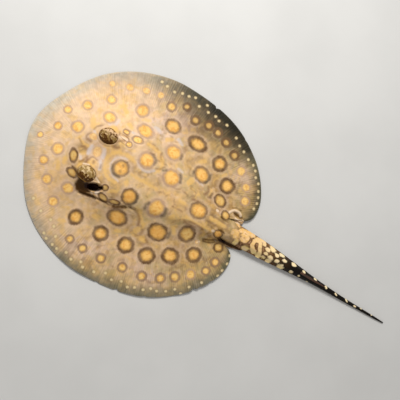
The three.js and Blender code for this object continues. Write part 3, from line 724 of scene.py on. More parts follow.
# Broad washes of colour over the ground: x, y, half-width, half-length, pigment, strength.
WASHES = [
    (-34, -30, 18, 18, "apricot", 0.6), (-40, -3, 12, 13, "rose", 0.8),
    (-50, 14, 12, 13, "brown", 0.6), (0, -30, 11, 12, "brown", 0.8), (-22, 9, 10, 14, "honey", 0.5),
    (9, 60, 8, 14, "umber", 0.6), (0, 28, 9, 24, "honey", 0.6), (28, -42, 16, 12, "honey", 0.6),
    (52, 18, 12, 26, "honey", 0.6), (-30, 66, 14, 12, "olive", 0.25), (30, -5, 9, 14, "honey", 0.5),
    (-10, 56, 7, 12, "brown", 0.6), (34, 27, 9, 12, "brown", 0.85), (-48, 44, 10, 16, "olive", 0.5),
    (-34, 53, 6, 6, "brown", 0.5), (-20, 9, 5, 5, "brown", 0.4), (0, 62, 7, 8, "umber", 0.5),
    (-18, 30, 5, 6, "olive", 0.5), (18, -24, 5, 8, "brown", 0.4), (0, -12, 12, 12, "honey", 0.35),
    (5, -39, 8, 6, "umber", 0.6), (-21, 56, 9, 8, "brown", 0.6), (17, 50, 9, 9, "umber", 0.5),
    (-45, 28, 14, 20, "brown", 0.4), (-12, -22, 6, 9, "brown", 0.6), (30, 58, 8, 10, "brown", 0.4),
    (16, -8, 8, 8, "brown", 0.5), (-58, 26, 9, 18, "umber", 0.5), (-20, -2, 8, 8, "brown", 0.35),
    (0, -30, 7, 5, "rose", 0.5), (40, 8, 9, 9, "brown", 0.4), (7, -40, 7, 5, "umber", 0.6),
    (-30, 48, 8, 11, "brown", 0.5), (-30, 30, 6, 8, "brown", 0.4), (29, 45, 8, 9, "brown", 0.6),
    (22, -12, 10, 10, "brown", 0.5), (40, -20, 8, 8, "apricot", 0.75),
    (-12, 64, 12, 10, "brown", 0.4), (-40, 61, 7, 7, "rose", 0.5), (57, -8, 7, 16, "rose", 0.4),
    (54, 38, 7, 11, "rose", 0.5), (-42, 1, 8, 7, "rose", 0.7), (50, 10, 8, 18, "rose", 0.28),
    (48, 30, 7, 9, "rose", 0.25), (29, 14, 6, 5, "brown", 0.4), (9, -41, 8, 6, "umber", 0.35),
    (-16, -30, 9, 8, "brown", 0.35), (-36, 81, 14, 7, "umber", 0.6), (-19, 44, 9, 9, "brown", 0.35),
    (-14, 83, 8, 6, "umber", 0.5), (7, -36, 8, 6, "brown", 0.5), (18, -20, 8, 10, "umber", 0.4),
    (-52, 10, 7, 8, "rose", 0.35), (-30, -42, 14, 9, "honey", 0.3), (0, 28, 5, 9, "apricot", 0.35),
    (30, 50, 8, 8, "umber", 0.3), (-20, 51, 8, 7, "umber", 0.3), (61, -11, 8, 14, "rose", 0.35),
    (54, 48, 8, 12, "rose", 0.35), (-42, 70, 8, 9, "rose", 0.35), (5, -38, 7, 5, "umber", 0.35),
]
WASH_PIGMENTS = {"apricot": (240, 196, 142), "rose": (230, 200, 184), "brown": (168, 130, 86),
                 "umber": (144, 108, 62), "honey": (216, 174, 124), "olive": (174, 156, 114)}


def nearest_spot(x, y, spots):
    """Distance to the nearest spot, 1 at its edge, and which spot that is."""
    best, which = np.full(x.shape, 1e9), np.zeros(x.shape, int)
    for number, (at_x, at_y, half_width, half_length, *turn) in enumerate(spots):
        u, v = turned(x, y, at_x, at_y, turn[0] if turn else 0)
        away = np.hypot(u / half_width, v / half_length)
        which = np.where(away < best, number, which)
        best = np.minimum(best, away)
    return best, which


def stroke_distance(x, y, strokes):
    """Distance outside the nearest stroke, FAR at most, negative within it."""
    best = np.full(x.shape, FAR)
    for half_width, corners in strokes:
        points = np.array(corners, float)
        if len(points) > 2:
            points = through(points, np.linspace(0, len(points) - 1, 6 * len(points)))
        for start, end in zip(points, points[1:]):
            best = np.minimum(best, segment_distance(x, y, start, end) - half_width)
    return best


def linear(r, g, b):
    """A colour as a screen shows it, 0 to 255, in linear light."""
    c = np.array((r, g, b)) / 255.0
    return np.where(c <= 0.04045, c / 12.92, ((c + 0.055) / 1.055) ** 2.4)


PEACH = linear(231, 198, 161)
TAN = linear(192, 162, 112)
BELLY = linear(232, 224, 214)
BELLY_RIM = linear(150, 140, 128)

# The band along the margin: angle from the snout in degrees, positive to the left, its colour
# at the very margin, and how far in it reaches.
MARGIN_CREAM = linear(199, 189, 171)
MARGIN_FAWN = linear(180, 166, 146)
MARGIN_TAUPE = linear(124, 117, 96)
MARGIN_OLIVE = linear(98, 96, 76)
MARGIN_BRONZE = linear(80, 78, 60)
MARGIN_DARK = linear(34, 32, 20)
MARGIN = [
    (-180, MARGIN_OLIVE, 11), (-172, MARGIN_BRONZE, 11), (-148, MARGIN_BRONZE, 11),
    (-141, MARGIN_OLIVE, 11), (-132, mix(MARGIN_DARK, MARGIN_TAUPE, 0.12), 27),
    (-120, MARGIN_DARK, 34), (-105, MARGIN_DARK, 37),
    (-85, mix(MARGIN_DARK, MARGIN_TAUPE, 0.4), 28), (-65, mix(MARGIN_TAUPE, MARGIN_FAWN, 0.55), 20),
    (-45, MARGIN_FAWN, 13), (-25, MARGIN_CREAM, 11), (0, MARGIN_CREAM, 14), (25, MARGIN_FAWN, 10),
    (55, mix(MARGIN_FAWN, MARGIN_TAUPE, 0.25), 10), (75, MARGIN_TAUPE, 9.5), (130, MARGIN_TAUPE, 12),
    (150, MARGIN_TAUPE, 14), (164, MARGIN_OLIVE, 11), (172, MARGIN_BRONZE, 10), (180, MARGIN_OLIVE, 10),
]


def ground_colour(x, y, inward, tail, face):
    """The skin's colour between its marks: peach in front, tan behind, and the margin's band.
    Also gives the strength of the clouds of pigment over it."""
    # Tan also towards the left side, which faces away from the lamp: partly painted shade.
    rear = smooth(-62, 52, y + 0.45 * x)
    colour = mix(PEACH, TAN, rear[:, None])
    for *oval, pigment, strength in WASHES:
        cover = swelling(x, y, *oval, strength)
        colour = mix(colour, linear(*WASH_PIGMENTS[pigment]), cover[:, None])
    angle = np.degrees(np.arctan2(x, DISC_CENTRE_Y - y))
    angles, tones, reaches = zip(*MARGIN)
    band_colour = np.column_stack([np.interp(angle, angles, channel) for channel in zip(*tones)])
    reach = np.interp(angle, angles, reaches)
    band = (1 - smooth(0.06, 1.0, inward / reach)) * (1 - tail)
    colour = mix(colour, band_colour, band[:, None])
    darkness = clamp01(1 - band_colour.mean(axis=1) / 0.35)
    clouds = 1 - band * mix(0.5, 1.0, darkness)
    below = mix(BELLY, BELLY_RIM, (1 - smooth(4, 22, inward))[:, None])
    return np.where((face > 0.5)[:, None], colour, below), clouds


def skin_fields(places, points):
    """The fields that the skin's material reads, one value for each point."""
    x, y = places[:, 0], places[:, 1]
    _, _, inward, _, _, row, arc, face = points.T
    tail = smooth(LOBE_END, NOTCH_ROW + 1.5, row)
    tail_zone = np.maximum(tail, smooth(66, 80, y) * (1 - smooth(9, 12, np.abs(x - sway(y)))))
    spots = [spot for group in OCELLUS_GROUPS for spot in group[3]]
    kinds = np.array([group[:3] for group in OCELLUS_GROUPS for _ in group[3]])
    spot, which = nearest_spot(x, y, spots)
    dot = np.full(x.shape, 2 * FAR)
    for at_x, at_y in MARGIN_DOTS:
        dot = np.minimum(dot, np.hypot(x - at_x, y - at_y))
    blotch, _ = nearest_spot(x, y, TAIL_BLOTCHES)
    blotch = np.minimum(blotch, 1.0 + stroke_distance(x, y, TAIL_BANDS) / BAND_SCALE)
    lid = np.minimum(EYES[0].ring(x, y), EYES[1].ring(x, y))
    ground, clouds = ground_colour(x, y, inward, tail, face)
    strokes = {name: stroke_distance(x, y, table) for name, table in STROKES.items()}
    return {
        "ground": ground,
        "clouds": clouds,
        "lid": np.minimum(lid, FAR),
        "spot": np.minimum(spot, FAR),
        "spot_kind": kinds[which],
        "dot": dot,
        "blotch": np.minimum(blotch, FAR),
        **strokes,
        "inward": inward,
        "arc": arc,
        "tail": tail_zone,
        "top": face,
    }


# ------------------------------------------------------------------ meshes
def new_object(name, places, faces):
    """A smooth-shaded object from points in millimetres."""
    mesh = bpy.data.meshes.new(name)
    mesh.from_pydata((np.asarray(places) * UNIT).tolist(), [], faces)
    mesh.shade_smooth()
    obj = bpy.data.objects.new(name, mesh)
    bpy.context.scene.collection.objects.link(obj)
    return obj


def add_field(mesh, name, values):
    """Keeps a number or a colour at each point, for the material to read."""
    values = np.asarray(values, np.float32)
    if values.ndim == 2:
        attribute = mesh.attributes.new(name, "FLOAT_COLOR", "POINT")
        values = np.column_stack([values, np.ones(len(values), np.float32)])
        attribute.data.foreach_set("color", values.ravel())
    else:
        attribute = mesh.attributes.new(name, "FLOAT", "POINT")
        attribute.data.foreach_set("value", values)


PLAN_FIELDS = ("plan_x", "plan_y", "inward", "edge_x", "edge_y", "row", "arc", "face")
# Where the head's skin is divided more finely: x, y, half-width, half-length.
FINE_HEAD = (0, -25, 29, 26)
FINE_EYES = (16.5, -26.5, 11, 13.5)


def divide(bm, layers, zone):
    """Halves the edges of the back's faces inside an ellipse, and its mirror image."""
    at_x, at_y, half_width, half_length = zone

    def inside(face):
        if any(v[layers["face"]] < 0.5 for v in face.verts):
            return False
        c = face.calc_center_median()
        return math.hypot((abs(c.x) - at_x) / half_width, (c.y - at_y) / half_length) < 1

    edges = {e for f in bm.faces if inside(f) for e in f.edges}
    bmesh.ops.subdivide_edges(bm, edges=list(edges), cuts=1, use_grid_fill=True)


def bridge(inner, outer):
    """Faces between two closed rings of points, which are given by their numbers."""
    after = [*range(1, len(inner)), 0]
    return [[inner[a], inner[b], outer[b], outer[a]] for a, b in enumerate(after)]


def tube(around, lengths):
    """Faces of a tube whose points are numbered ring by ring."""
    rings = [range(i * around, (i + 1) * around) for i in range(lengths + 1)]
    return [face for pair in zip(rings, rings[1:]) for face in bridge(*pair)]


def face_outwards(obj, weld=False):
    """Turns the faces outwards, after joining points that share a place if weld is set."""
    bm = bmesh.new()
    bm.from_mesh(obj.data)
    if weld:
        bmesh.ops.remove_doubles(bm, verts=bm.verts, dist=1e-7)
    bmesh.ops.recalc_face_normals(bm, faces=bm.faces)
    bm.to_mesh(obj.data)
    bm.free()
    obj.data.shade_smooth()


def make_skin():
    """The whole outer skin: divided flat, then shaped, with its lobes and fields."""
    points, faces = skin_plan()
    mesh = bpy.data.meshes.new("plan")
    mesh.from_pydata([(p[0], p[1], 0.0) for p in points], [], faces)
    bm = bmesh.new()
    bm.from_mesh(mesh)
    bpy.data.meshes.remove(mesh)
    layers = {name: bm.verts.layers.float.new(name) for name in PLAN_FIELDS}
    bm.verts.ensure_lookup_table()
    for vert, values in zip(bm.verts, points):
        for name, value in zip(PLAN_FIELDS, values):
            vert[layers[name]] = value
    divide(bm, layers, FINE_HEAD)
    divide(bm, layers, FINE_EYES)
    bm.verts.ensure_lookup_table()
    points = np.array([[v[layers[name]] for name in PLAN_FIELDS] for v in bm.verts])
    points[:, :2] = [(v.co.x, v.co.y) for v in bm.verts]
    bm.verts.index_update()
    faces = [[v.index for v in f.verts] for f in bm.faces]
    bm.free()
    places = shape_skin(points)
    places, faces, points = add_lobes(places, faces, points)
    skin = new_object("skin", places, faces)
    face_outwards(skin)
    for name, values in skin_fields(places, points).items():
        add_field(skin.data, name, values)
    return skin


# Thin lobes that grow from under the rear of the disc: outline, middle, side, height of the
# middle layer, depth and turn of the ruffles, and 1 if they show the colours of the back.
NOTCH_FLAP = np.array([(13.8, 70), (14.4, 76), (13.6, 80.6), (11.6, 82.6), (9.2, 82.8), (7.0, 81),
                       (6.6, 76), (8.6, 70)], float)
# The dark flap in the left notch stands for the inner margin of the pelvic fin and carries the notch's
# painted shadow.
SHADOW_FLAP = np.array([(5, 68), (10.2, 69), (11.2, 74), (10.8, 80), (9.6, 86), (8.2, 91.6),
                      (6.2, 92), (5, 84)], float)
LOBE_THICKNESS = 0.8
LOBE_EDGE = 1.2                   # how far in from their outline the lobes are rounded off
# What the skin's fields say of a lobe that is belly, and how much farther in one of back lies.
LOBE_INWARD, BACK_INWARD = 3, 20
LOBE_PLAN = (30, 80, 17, 0)       # its edge_x, edge_y, row and arc
LOBES = [
    (PELVIC, (16.0, 68.0), LEFT, 0.45, 0.12, (0.5, 0.9), 0),
    (PELVIC, (16.0, 68.0), RIGHT, 0.45, 0.12, (0.5, 0.9), 0),
    (NOTCH_FLAP, (10.6, 76.6), RIGHT, 2.0, 0.45, (2.6, 0.5), 1),
    (SHADOW_FLAP, (7.8, 78.0), LEFT, 1.3, 0.15, (1.2, 0.7), 1),
]
LOBE_RINGS, LOBE_ROUND = 18, 96


def add_lobes(places, faces, points):
    """Adds the pelvic fins and the flaps in the notches, thin ruffled lobes."""
    places, points, faces = list(places), list(points), list(faces)
    for outline, middle, side, height, ruffle, turn, shows in LOBES:
        loop = closed_curve(outline, LOBE_ROUND)
        shells = []
        for upward in (1, -1):
            rings = []
            for k in range(LOBE_RINGS):
                share = math.sin(math.pi / 2 * (k + 1) / LOBE_RINGS)
                ring = []
                for at in loop:
                    x, y = np.array(middle) + (at - middle) * share
                    edge = (1 - share) * np.linalg.norm(at - middle)
                    bend = math.sqrt(1 - (1 - min(1, edge / LOBE_EDGE)) ** 2)
                    wave = ruffle * math.sin(turn[0] * x + turn[1] * y)
                    z = height + upward * LOBE_THICKNESS / 2 * bend
                    z = max(0.0, z + wave * (upward > 0 or shows))
                    ring.append(len(places))
                    places.append(np.array([side * x + float(sway(np.float64(y))), y, z]))
                    inward = LOBE_INWARD + edge + BACK_INWARD * shows
                    points.append(np.array([side * x, y, inward, *LOBE_PLAN, shows]))
                rings.append(ring)
            shells.append(rings)
        for rings in shells:
            faces.append(list(rings[0]))
            for inner, outer in zip(rings, rings[1:]):
                faces += bridge(inner, outer)
        faces += bridge(shells[0][-1], shells[1][-1])
    return np.array(places), faces, np.array(points)


EYE_ROUND, EYE_TALL = 72, 48
PUPIL_DIRECTION = (0.93, -0.16, 0.20)
PUPIL_WIDTH, PUPIL_HEIGHT = 0.40, 0.26
BULB_LUMPS, BULB_FLAT = 0.10, 0.25         # of the bulb's upper side
CORNEA_RISE = 0.30
NO_PUPIL = 9.0                             # the pupil's field away from it


def make_eye(eye):
    """The bulb of one eye, lumpy and a little flat on top, with the pupil on its outer side."""
    out = np.array(PUPIL_DIRECTION) * (eye.side, 1, 1)
    out /= np.linalg.norm(out)
    level = np.cross((0, 0, 1.0), out)
    level /= np.linalg.norm(level)
    upright = np.cross(out, level)
    places, pupil = [], []
    for i in range(EYE_TALL + 1):
        tall = math.pi * i / EYE_TALL
        for j in range(EYE_ROUND):
            turn = 2 * math.pi * j / EYE_ROUND
            n = np.array([math.sin(tall) * math.cos(turn), math.sin(tall) * math.sin(turn),
                          -math.cos(tall)])
            p = n * eye.size
            facing = float(n @ out)
            u, v = float(n @ level), float(n @ upright)
            waves = math.sin(2.1 * p[0] + 1.3) * math.sin(1.7 * p[1])
            lumps = BULB_LUMPS * waves * max(0, n[2])
            flat = BULB_FLAT * max(0.0, n[2]) ** 3
            cornea = CORNEA_RISE * math.exp(-((1 - facing) / 0.10) ** 2)
            places.append(eye.centre + p + n * (lumps - flat) + out * cornea)
            ring = math.hypot(u / PUPIL_WIDTH, v / PUPIL_HEIGHT)
            pupil.append(ring if facing > 0 else NO_PUPIL)
    faces = tube(EYE_ROUND, EYE_TALL)
    obj = new_object(eye.name + "_bulb", places, faces)
    face_outwards(obj, weld=True)
    mesh_pupil = nearest_values(obj.data, np.array(places) * UNIT, np.array(pupil))
    add_field(obj.data, "pupil", np.minimum(mesh_pupil, NO_PUPIL))
    return obj


def nearest_values(mesh, places, values):
    """Values given at places, brought to the mesh's points."""
    tree = KDTree(len(places))
    for number, place in enumerate(places):
        tree.insert(place, number)
    tree.balance()
    return np.array([values[tree.find(v.co)[1]] for v in mesh.vertices])


STING_STEPS = 120
STING_THICK, STING_SINK = 0.75, 0.12       # its height at the root, and how deep it is set
TEETH, TOOTH_DEPTH = 11, 0.16
TEETH_FROM, TEETH_TO = 0.3, 0.95           # shares of the sting's length
STING_LEAST = 0.05                         # no part of it is thinner
# The section: across and up, as shares of half the width and of the height.
STING_SECTION = [(1, 0.15), (0.8, 0.6), (0.35, 0.85), (0, 1), (-0.35, 0.85), (-0.8, 0.6),
                 (-1, 0.15), (-0.6, 0), (0, 0), (0.6, 0)]


def make_sting():
    """The barbed spine on the tail: a flattened dagger with a ridge and saw teeth."""
    low, high = (np.array(corner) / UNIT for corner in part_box("tail_sting"))
    length, half = high[1] - low[1], (high[0] - low[0]) / 2
    centre = (low[0] + high[0]) / 2
    root_z, tip_z = back_height(low[1]), back_height(high[1])
    places = []
    for i in range(STING_STEPS + 1):
        t = i / STING_STEPS
        saw = (t * TEETH) % 1 if TEETH_FROM < t < TEETH_TO else 0
        width = half * (1 - 0.2 * t) * (1 - t ** 5) * (1 - TOOTH_DEPTH * saw) + STING_LEAST
        thick = STING_THICK * (1 - 0.5 * t) * (1 - t ** 6) + STING_LEAST
        z = mix(root_z, tip_z, t) - STING_SINK
        for across, up in STING_SECTION:
            places.append((centre + width * across, low[1] + length * t, z + thick * up))
    around = len(STING_SECTION)
    faces = tube(around, STING_STEPS)
    faces += [list(range(around)), list(range(STING_STEPS * around, len(places)))]
    obj = new_object("tail_sting_spine", places, faces)
    face_outwards(obj, weld=True)
    return obj


def back_height(y):
    """Height of the back on its middle line."""
    return float(read_table(BACK, np.array([y]))[0][0])


# ------------------------------------------------------------------ materials
class Nodes:
    """Builds a material's node tree. Most methods give back an output socket."""

    def __init__(self, name):
        self.material = bpy.data.materials.new(name)
        self.material.use_nodes = True
        self.tree = self.material.node_tree
        self.shader = self.tree.nodes["Principled BSDF"]
        place = self.add("ShaderNodeTexCoord").outputs["Object"]
        scale = self.add("ShaderNodeVectorMath", operation="SCALE")
        self.feed(scale.inputs[0], place)
        scale.inputs["Scale"].default_value = 1 / UNIT
        self.place = scale.outputs[0]

    def add(self, kind, **settings):
        node = self.tree.nodes.new(kind)
        for name, value in settings.items():
            setattr(node, name, value)
        return node

    def feed(self, socket, value):
        if isinstance(value, bpy.types.NodeSocket):
            self.tree.links.new(value, socket)
        else:
            socket.default_value = value

    def field(self, name):
        return self.add("ShaderNodeAttribute", attribute_name=name).outputs["Fac"]

    def colour_field(self, name):
        return self.add("ShaderNodeAttribute", attribute_name=name).outputs["Color"]

    def maths(self, operation, a, b=0.0):
        node = self.add("ShaderNodeMath", operation=operation)
        self.feed(node.inputs[0], a)
        self.feed(node.inputs[1], b)
        return node.outputs[0]

    def times(self, a, b):
        return self.maths("MULTIPLY", a, b)

    def plus(self, a, b):
        return self.maths("ADD", a, b)

    def minus(self, a, b):
        return self.maths("SUBTRACT", a, b)

    def ramp(self, value, low, high, to_low=0.0, to_high=1.0):
        """Goes smoothly from to_low to to_high as value goes from low to high."""
        node = self.add("ShaderNodeMapRange", interpolation_type="SMOOTHSTEP")
        for socket, given in zip(node.inputs, (value, low, high, to_low, to_high)):
            self.feed(socket, given)
        return node.outputs[0]

    def blend(self, amount, under, over, blend_type="MIX"):
        node = self.add("ShaderNodeMix", data_type="RGBA", blend_type=blend_type)
        self.feed(node.inputs[0], amount)
        for socket, colour in ((node.inputs[6], under), (node.inputs[7], over)):
            self.feed(socket, colour if isinstance(colour, bpy.types.NodeSocket)
                      else (*colour, 1.0))
        return node.outputs[2]

    def noise(self, size, detail=2.0, distortion=0.0, shift=0.0, stretch=None):
        """Noise whose features are about size millimetres across, 0 to 1."""
        place = self.place
        if shift or stretch:
            node = self.add("ShaderNodeMapping")
            self.feed(node.inputs["Vector"], place)
            node.inputs["Location"].default_value = (shift, -shift, 0.5 * shift)
            node.inputs["Scale"].default_value = stretch or (1, 1, 1)
            place = node.outputs[0]
        return self.noise_at(place, 1 / size, detail, distortion)

    def noise_at(self, place, scale=1.0, detail=2.0, distortion=0.0):
        node = self.add("ShaderNodeTexNoise")
        self.feed(node.inputs["Vector"], place)
        node.inputs["Scale"].default_value = scale
        node.inputs["Detail"].default_value = detail
        node.inputs["Distortion"].default_value = distortion
        return node.outputs["Fac"]

    def along_rays(self, width, length, inward):
        """Noise drawn out along the fin rays, width across them and length along them."""
        node = self.add("ShaderNodeCombineXYZ")
        self.feed(node.inputs[0], self.times(self.field("arc"), 1 / width))
        self.feed(node.inputs[1], self.times(inward, 1 / length))
        return self.noise_at(node.outputs[0])

    def axis(self, name):
        """How far along X, Y or Z a point lies, in millimetres."""
        node = self.add("ShaderNodeSeparateXYZ")
        self.feed(node.inputs[0], self.place)
        return node.outputs[name]

    def grey(self, value):
        node = self.add("ShaderNodeCombineColor")
        for socket in node.inputs:
            self.feed(socket, value)
        return node.outputs[0]

    def separate(self, colour):
        node = self.add("ShaderNodeSeparateColor")
        self.feed(node.inputs[0], colour)
        return node.outputs

    def bump(self, height, depth, under=None):
        """Relief of the given depth in millimetres."""
        node = self.add("ShaderNodeBump")
        self.feed(node.inputs["Height"], height)
        node.inputs["Distance"].default_value = depth * UNIT
        node.inputs["Strength"].default_value = 1.0
        if under is not None:
            self.feed(node.inputs["Normal"], under)
        return node.outputs[0]


PALE_YELLOW = linear(250, 206, 126)
ORANGE = linear(222, 158, 74)
OLIVE_YELLOW = linear(178, 148, 92)
RIM_GOLD = linear(180, 136, 70)
RING = linear(98, 70, 42)
RING_MAUVE = linear(184, 150, 126)
RING_BROWN = linear(130, 102, 74)
OLIVE_TAN = linear(178, 158, 110)
HALO = linear(220, 190, 162)
STREAK = (0.60, 0.60, 0.60)        # what a fin ray leaves of the light
DOT_CREAM = linear(222, 200, 152)
GOLDEN = linear(226, 182, 106)
LILAC_GREY = linear(208, 198, 196)
SEPIA_BROWN = linear(128, 90, 60)
SHADOW_AND_UMBER_BROWN = linear(80, 50, 8)
SHADE_BLACK = linear(34, 12, 8)
SHADE_BROWN = linear(68, 40, 4)
CREAM_WHITE = linear(236, 212, 184)
SLATE_GREY = linear(92, 80, 62)
TAIL_BROWN = linear(104, 70, 34)
TAIL_BLACK = linear(14, 9, 4)
TAIL_OUTLINE = linear(92, 58, 28)
TAIL_ROSE = linear(186, 146, 112)
TAIL_GOLD = linear(230, 184, 112)
TAIL_PAINTED_LIGHT = linear(255, 228, 150)
TAIL_CREAM = linear(248, 230, 184)
TAIL_PEACH = linear(240, 206, 170)
EYE_OLIVE = linear(150, 122, 70)
EYE_CREAM = linear(218, 190, 146)
EYE_PINK = linear(236, 200, 162)
EYE_BROWN = linear(112, 76, 30)
EYE_DARK = linear(80, 46, 8)
EYE_BLACK = linear(14, 8, 4)
EYE_GOLD = linear(160, 118, 54)
EDGE_HIGHLIGHT = linear(200, 196, 184)
BELLY_PINK = linear(224, 190, 176)
STING_DARK = linear(44, 28, 20)
STING_LIGHT = linear(92, 58, 38)
FLOOR_DARK = linear(202, 202, 201)
FLOOR_LIGHT = linear(207, 207, 206)
RAY_PITCH = 1.65                  # millimetres of margin from one fin ray to the next
RAY_RELIEF, GRAIN_RELIEF, PORE_RELIEF = 0.10, 0.10, 0.03
BULB_RELIEF, STING_RELIEF = 0.12, 0.08
SKIN_SPECULAR, EYE_SPECULAR = 0.14, 0.12
SUBSURFACE, SUBSURFACE_RADIUS = 0.03, (0.0016, 0.0009, 0.0005)

# How strokes are painted, in order, under and over the ocelli: field, colour, how far their
# edges wander and how soft they are in millimetres, and strength. The colour is a pigment, except in
# the last four rows, which also paint shadow and highlights.
UNDER_PAINTS = [
    ("lilac", LILAC_GREY, 1.8, 0.9, 0.66),
    ("gold", GOLDEN, 2.0, 1.0, 0.68),
]
OVER_PAINTS = [
    ("sepia", SEPIA_BROWN, 1.2, 1.0, 0.66),
    ("slate", SLATE_GREY, 1.6, 1.2, 0.80),
    # Dark brown pigment, and painted shadow along the fold beside the left eye and in the notches.
    ("umber", SHADOW_AND_UMBER_BROWN, 0.9, 0.85, 0.94),
    # Light skin, and painted glints by the left eye and in the left notch.
    ("cream", CREAM_WHITE, 0.8, 0.50, 0.75),
    # Painted shadow beside the left eye and along the tail's left flank.
    ("shade", SHADE_BROWN, 1.8, 1.3, 1.0),
    # Painted black shade in the left spiracle's opening and in the left notch.
    ("black_shade", SHADE_BLACK, 1.0, 0.8, 1.0),
]
# Clouds of pigment: pigment, size, where they start and are full, strength in front and
# behind, and the part of the noise that they take.
CLOUDS = [
    (GOLDEN, 5.4, 0.44, 0.66, 0.50, 0.50, 0),
    (HALO, 6.5, 0.46, 0.66, 0.50, 0.36, 53),
    (OLIVE_TAN, 7.0, 0.48, 0.68, 0.14, 0.45, 29),
    (SEPIA_BROWN, 5.4, 0.50, 0.72, 0.10, 0.42, 87),
]


def skin_material():
    """Ground, marks, painted shade and highlights, and belly of the skin, with a fine relief of fin
    rays and grain.
    """
    g = Nodes("skin")
    wobble = g.minus(g.noise(2.6, 3), 0.5)
    fine = g.minus(g.noise(0.9, 2, shift=31), 0.5)
    inward, tail = g.field("inward"), g.field("tail")
    stripes = fin_ray_stripes(g, inward, tail, wobble)
    colour = clouded_ground(g)
    colour = g.blend(g.times(stripes, 0.75), colour, STREAK, "MULTIPLY")
    colour = painted(g, colour, wobble, UNDER_PAINTS)
    colour = ocelli(g, colour, inward, wobble, fine, stripes)
    colour = margin_dots(g, colour, fine)
    colour = tail_colour(g, colour, tail, wobble)
    colour = painted(g, colour, wobble, OVER_PAINTS)
    # Painted shade: a soft brown ring where the lid of each eye meets the bulb.
    crease = g.ramp(g.field("lid"), 1.14, 1.02, 0, 0.22)
    colour = g.blend(crease, colour, SEPIA_BROWN)
    # Painted highlight along the thin margin of the fins, weaker where the margin is dark.
    edge_highlight = g.times(g.ramp(inward, 1.0, 0.2, 0, 0.28), g.ramp(tail, 0.3, 0))
    edge_highlight = g.times(edge_highlight, g.ramp(g.field("clouds"), 0.0, 0.5, 0.15, 1.0))
    colour = g.blend(edge_highlight, colour, EDGE_HIGHLIGHT)
    belly = g.blend(g.ramp(g.noise(12, 3, shift=71), 0.45, 0.7, 0, 0.25),
                    g.colour_field("ground"), BELLY_PINK)
    colour = g.blend(g.ramp(g.field("top"), 0.3, 0.7), belly, colour)
    g.feed(g.shader.inputs["Base Color"], colour)
    grain = g.noise(1.4, 4, shift=3)
    normal = g.bump(stripes, RAY_RELIEF)
    normal = g.bump(grain, GRAIN_RELIEF, normal)
    normal = g.bump(g.noise(0.45, 2, shift=5), PORE_RELIEF, normal)
    g.feed(g.shader.inputs["Normal"], normal)
    g.feed(g.shader.inputs["Roughness"], g.ramp(grain, 0.3, 0.7, 0.38, 0.56))
    g.shader.inputs["Specular IOR Level"].default_value = SKIN_SPECULAR
    g.shader.inputs["Subsurface Weight"].default_value = SUBSURFACE
    g.shader.inputs["Subsurface Radius"].default_value = SUBSURFACE_RADIUS
    g.shader.inputs["Subsurface Scale"].default_value = 1.0
    return g.material


def painted(g, colour, wobble, paints):
    """The colour with the strokes of some fields painted over it."""
    for field, paint, wander, soft, strength in paints:
        away = g.plus(g.field(field), g.times(wobble, wander))
        colour = g.blend(g.ramp(away, soft, -soft, 0, strength), colour, paint)
    return colour


def fin_ray_stripes(g, inward, tail, wobble):
    """Fin rays: fine fibres that run in from the margin and fade out over the fin, 0 to 1."""
    phase = g.times(g.field("arc"), 2 * math.pi / RAY_PITCH)
    phase = g.plus(phase, g.times(wobble, 3.0))
    comb = g.ramp(g.maths("SINE", phase), -0.4, 1.0)
    fibres = g.ramp(g.along_rays(1.3, 14.0, inward), 0.40, 0.62)
    lines = g.plus(g.times(comb, 0.45), g.times(fibres, 0.65))
    lines = g.times(lines, g.ramp(g.noise(13, 2, shift=7), 0.36, 0.60, 0.45, 1.0))
    lines = g.times(lines, g.ramp(inward, 40, 10))
    lines = g.times(lines, g.ramp(g.axis("Y"), -50, -5, 0.45, 1.0))
    return g.times(lines, g.ramp(tail, 0.3, 0))


def clouded_ground(g):
    """The ground with clouds of golden, pink and brown pigment."""
    colour = g.colour_field("ground")
    clouds = g.field("clouds")
    behind = g.ramp(g.axis("Y"), -34, 4)
    for paint, size, low, high, front, rear, shift in CLOUDS:
        cover = g.ramp(g.noise(size, 1.6, 0.6, shift=shift), low, high)
        cover = g.times(cover, g.ramp(behind, 0, 1, front, rear))
        colour = g.blend(g.times(cover, clouds), colour, paint)
    shade = g.ramp(g.noise(3.2, 1.5, shift=17), 0.32, 0.68, 0.90, 1.04)
    return g.blend(1.0, colour, g.grey(shade), "MULTIPLY")


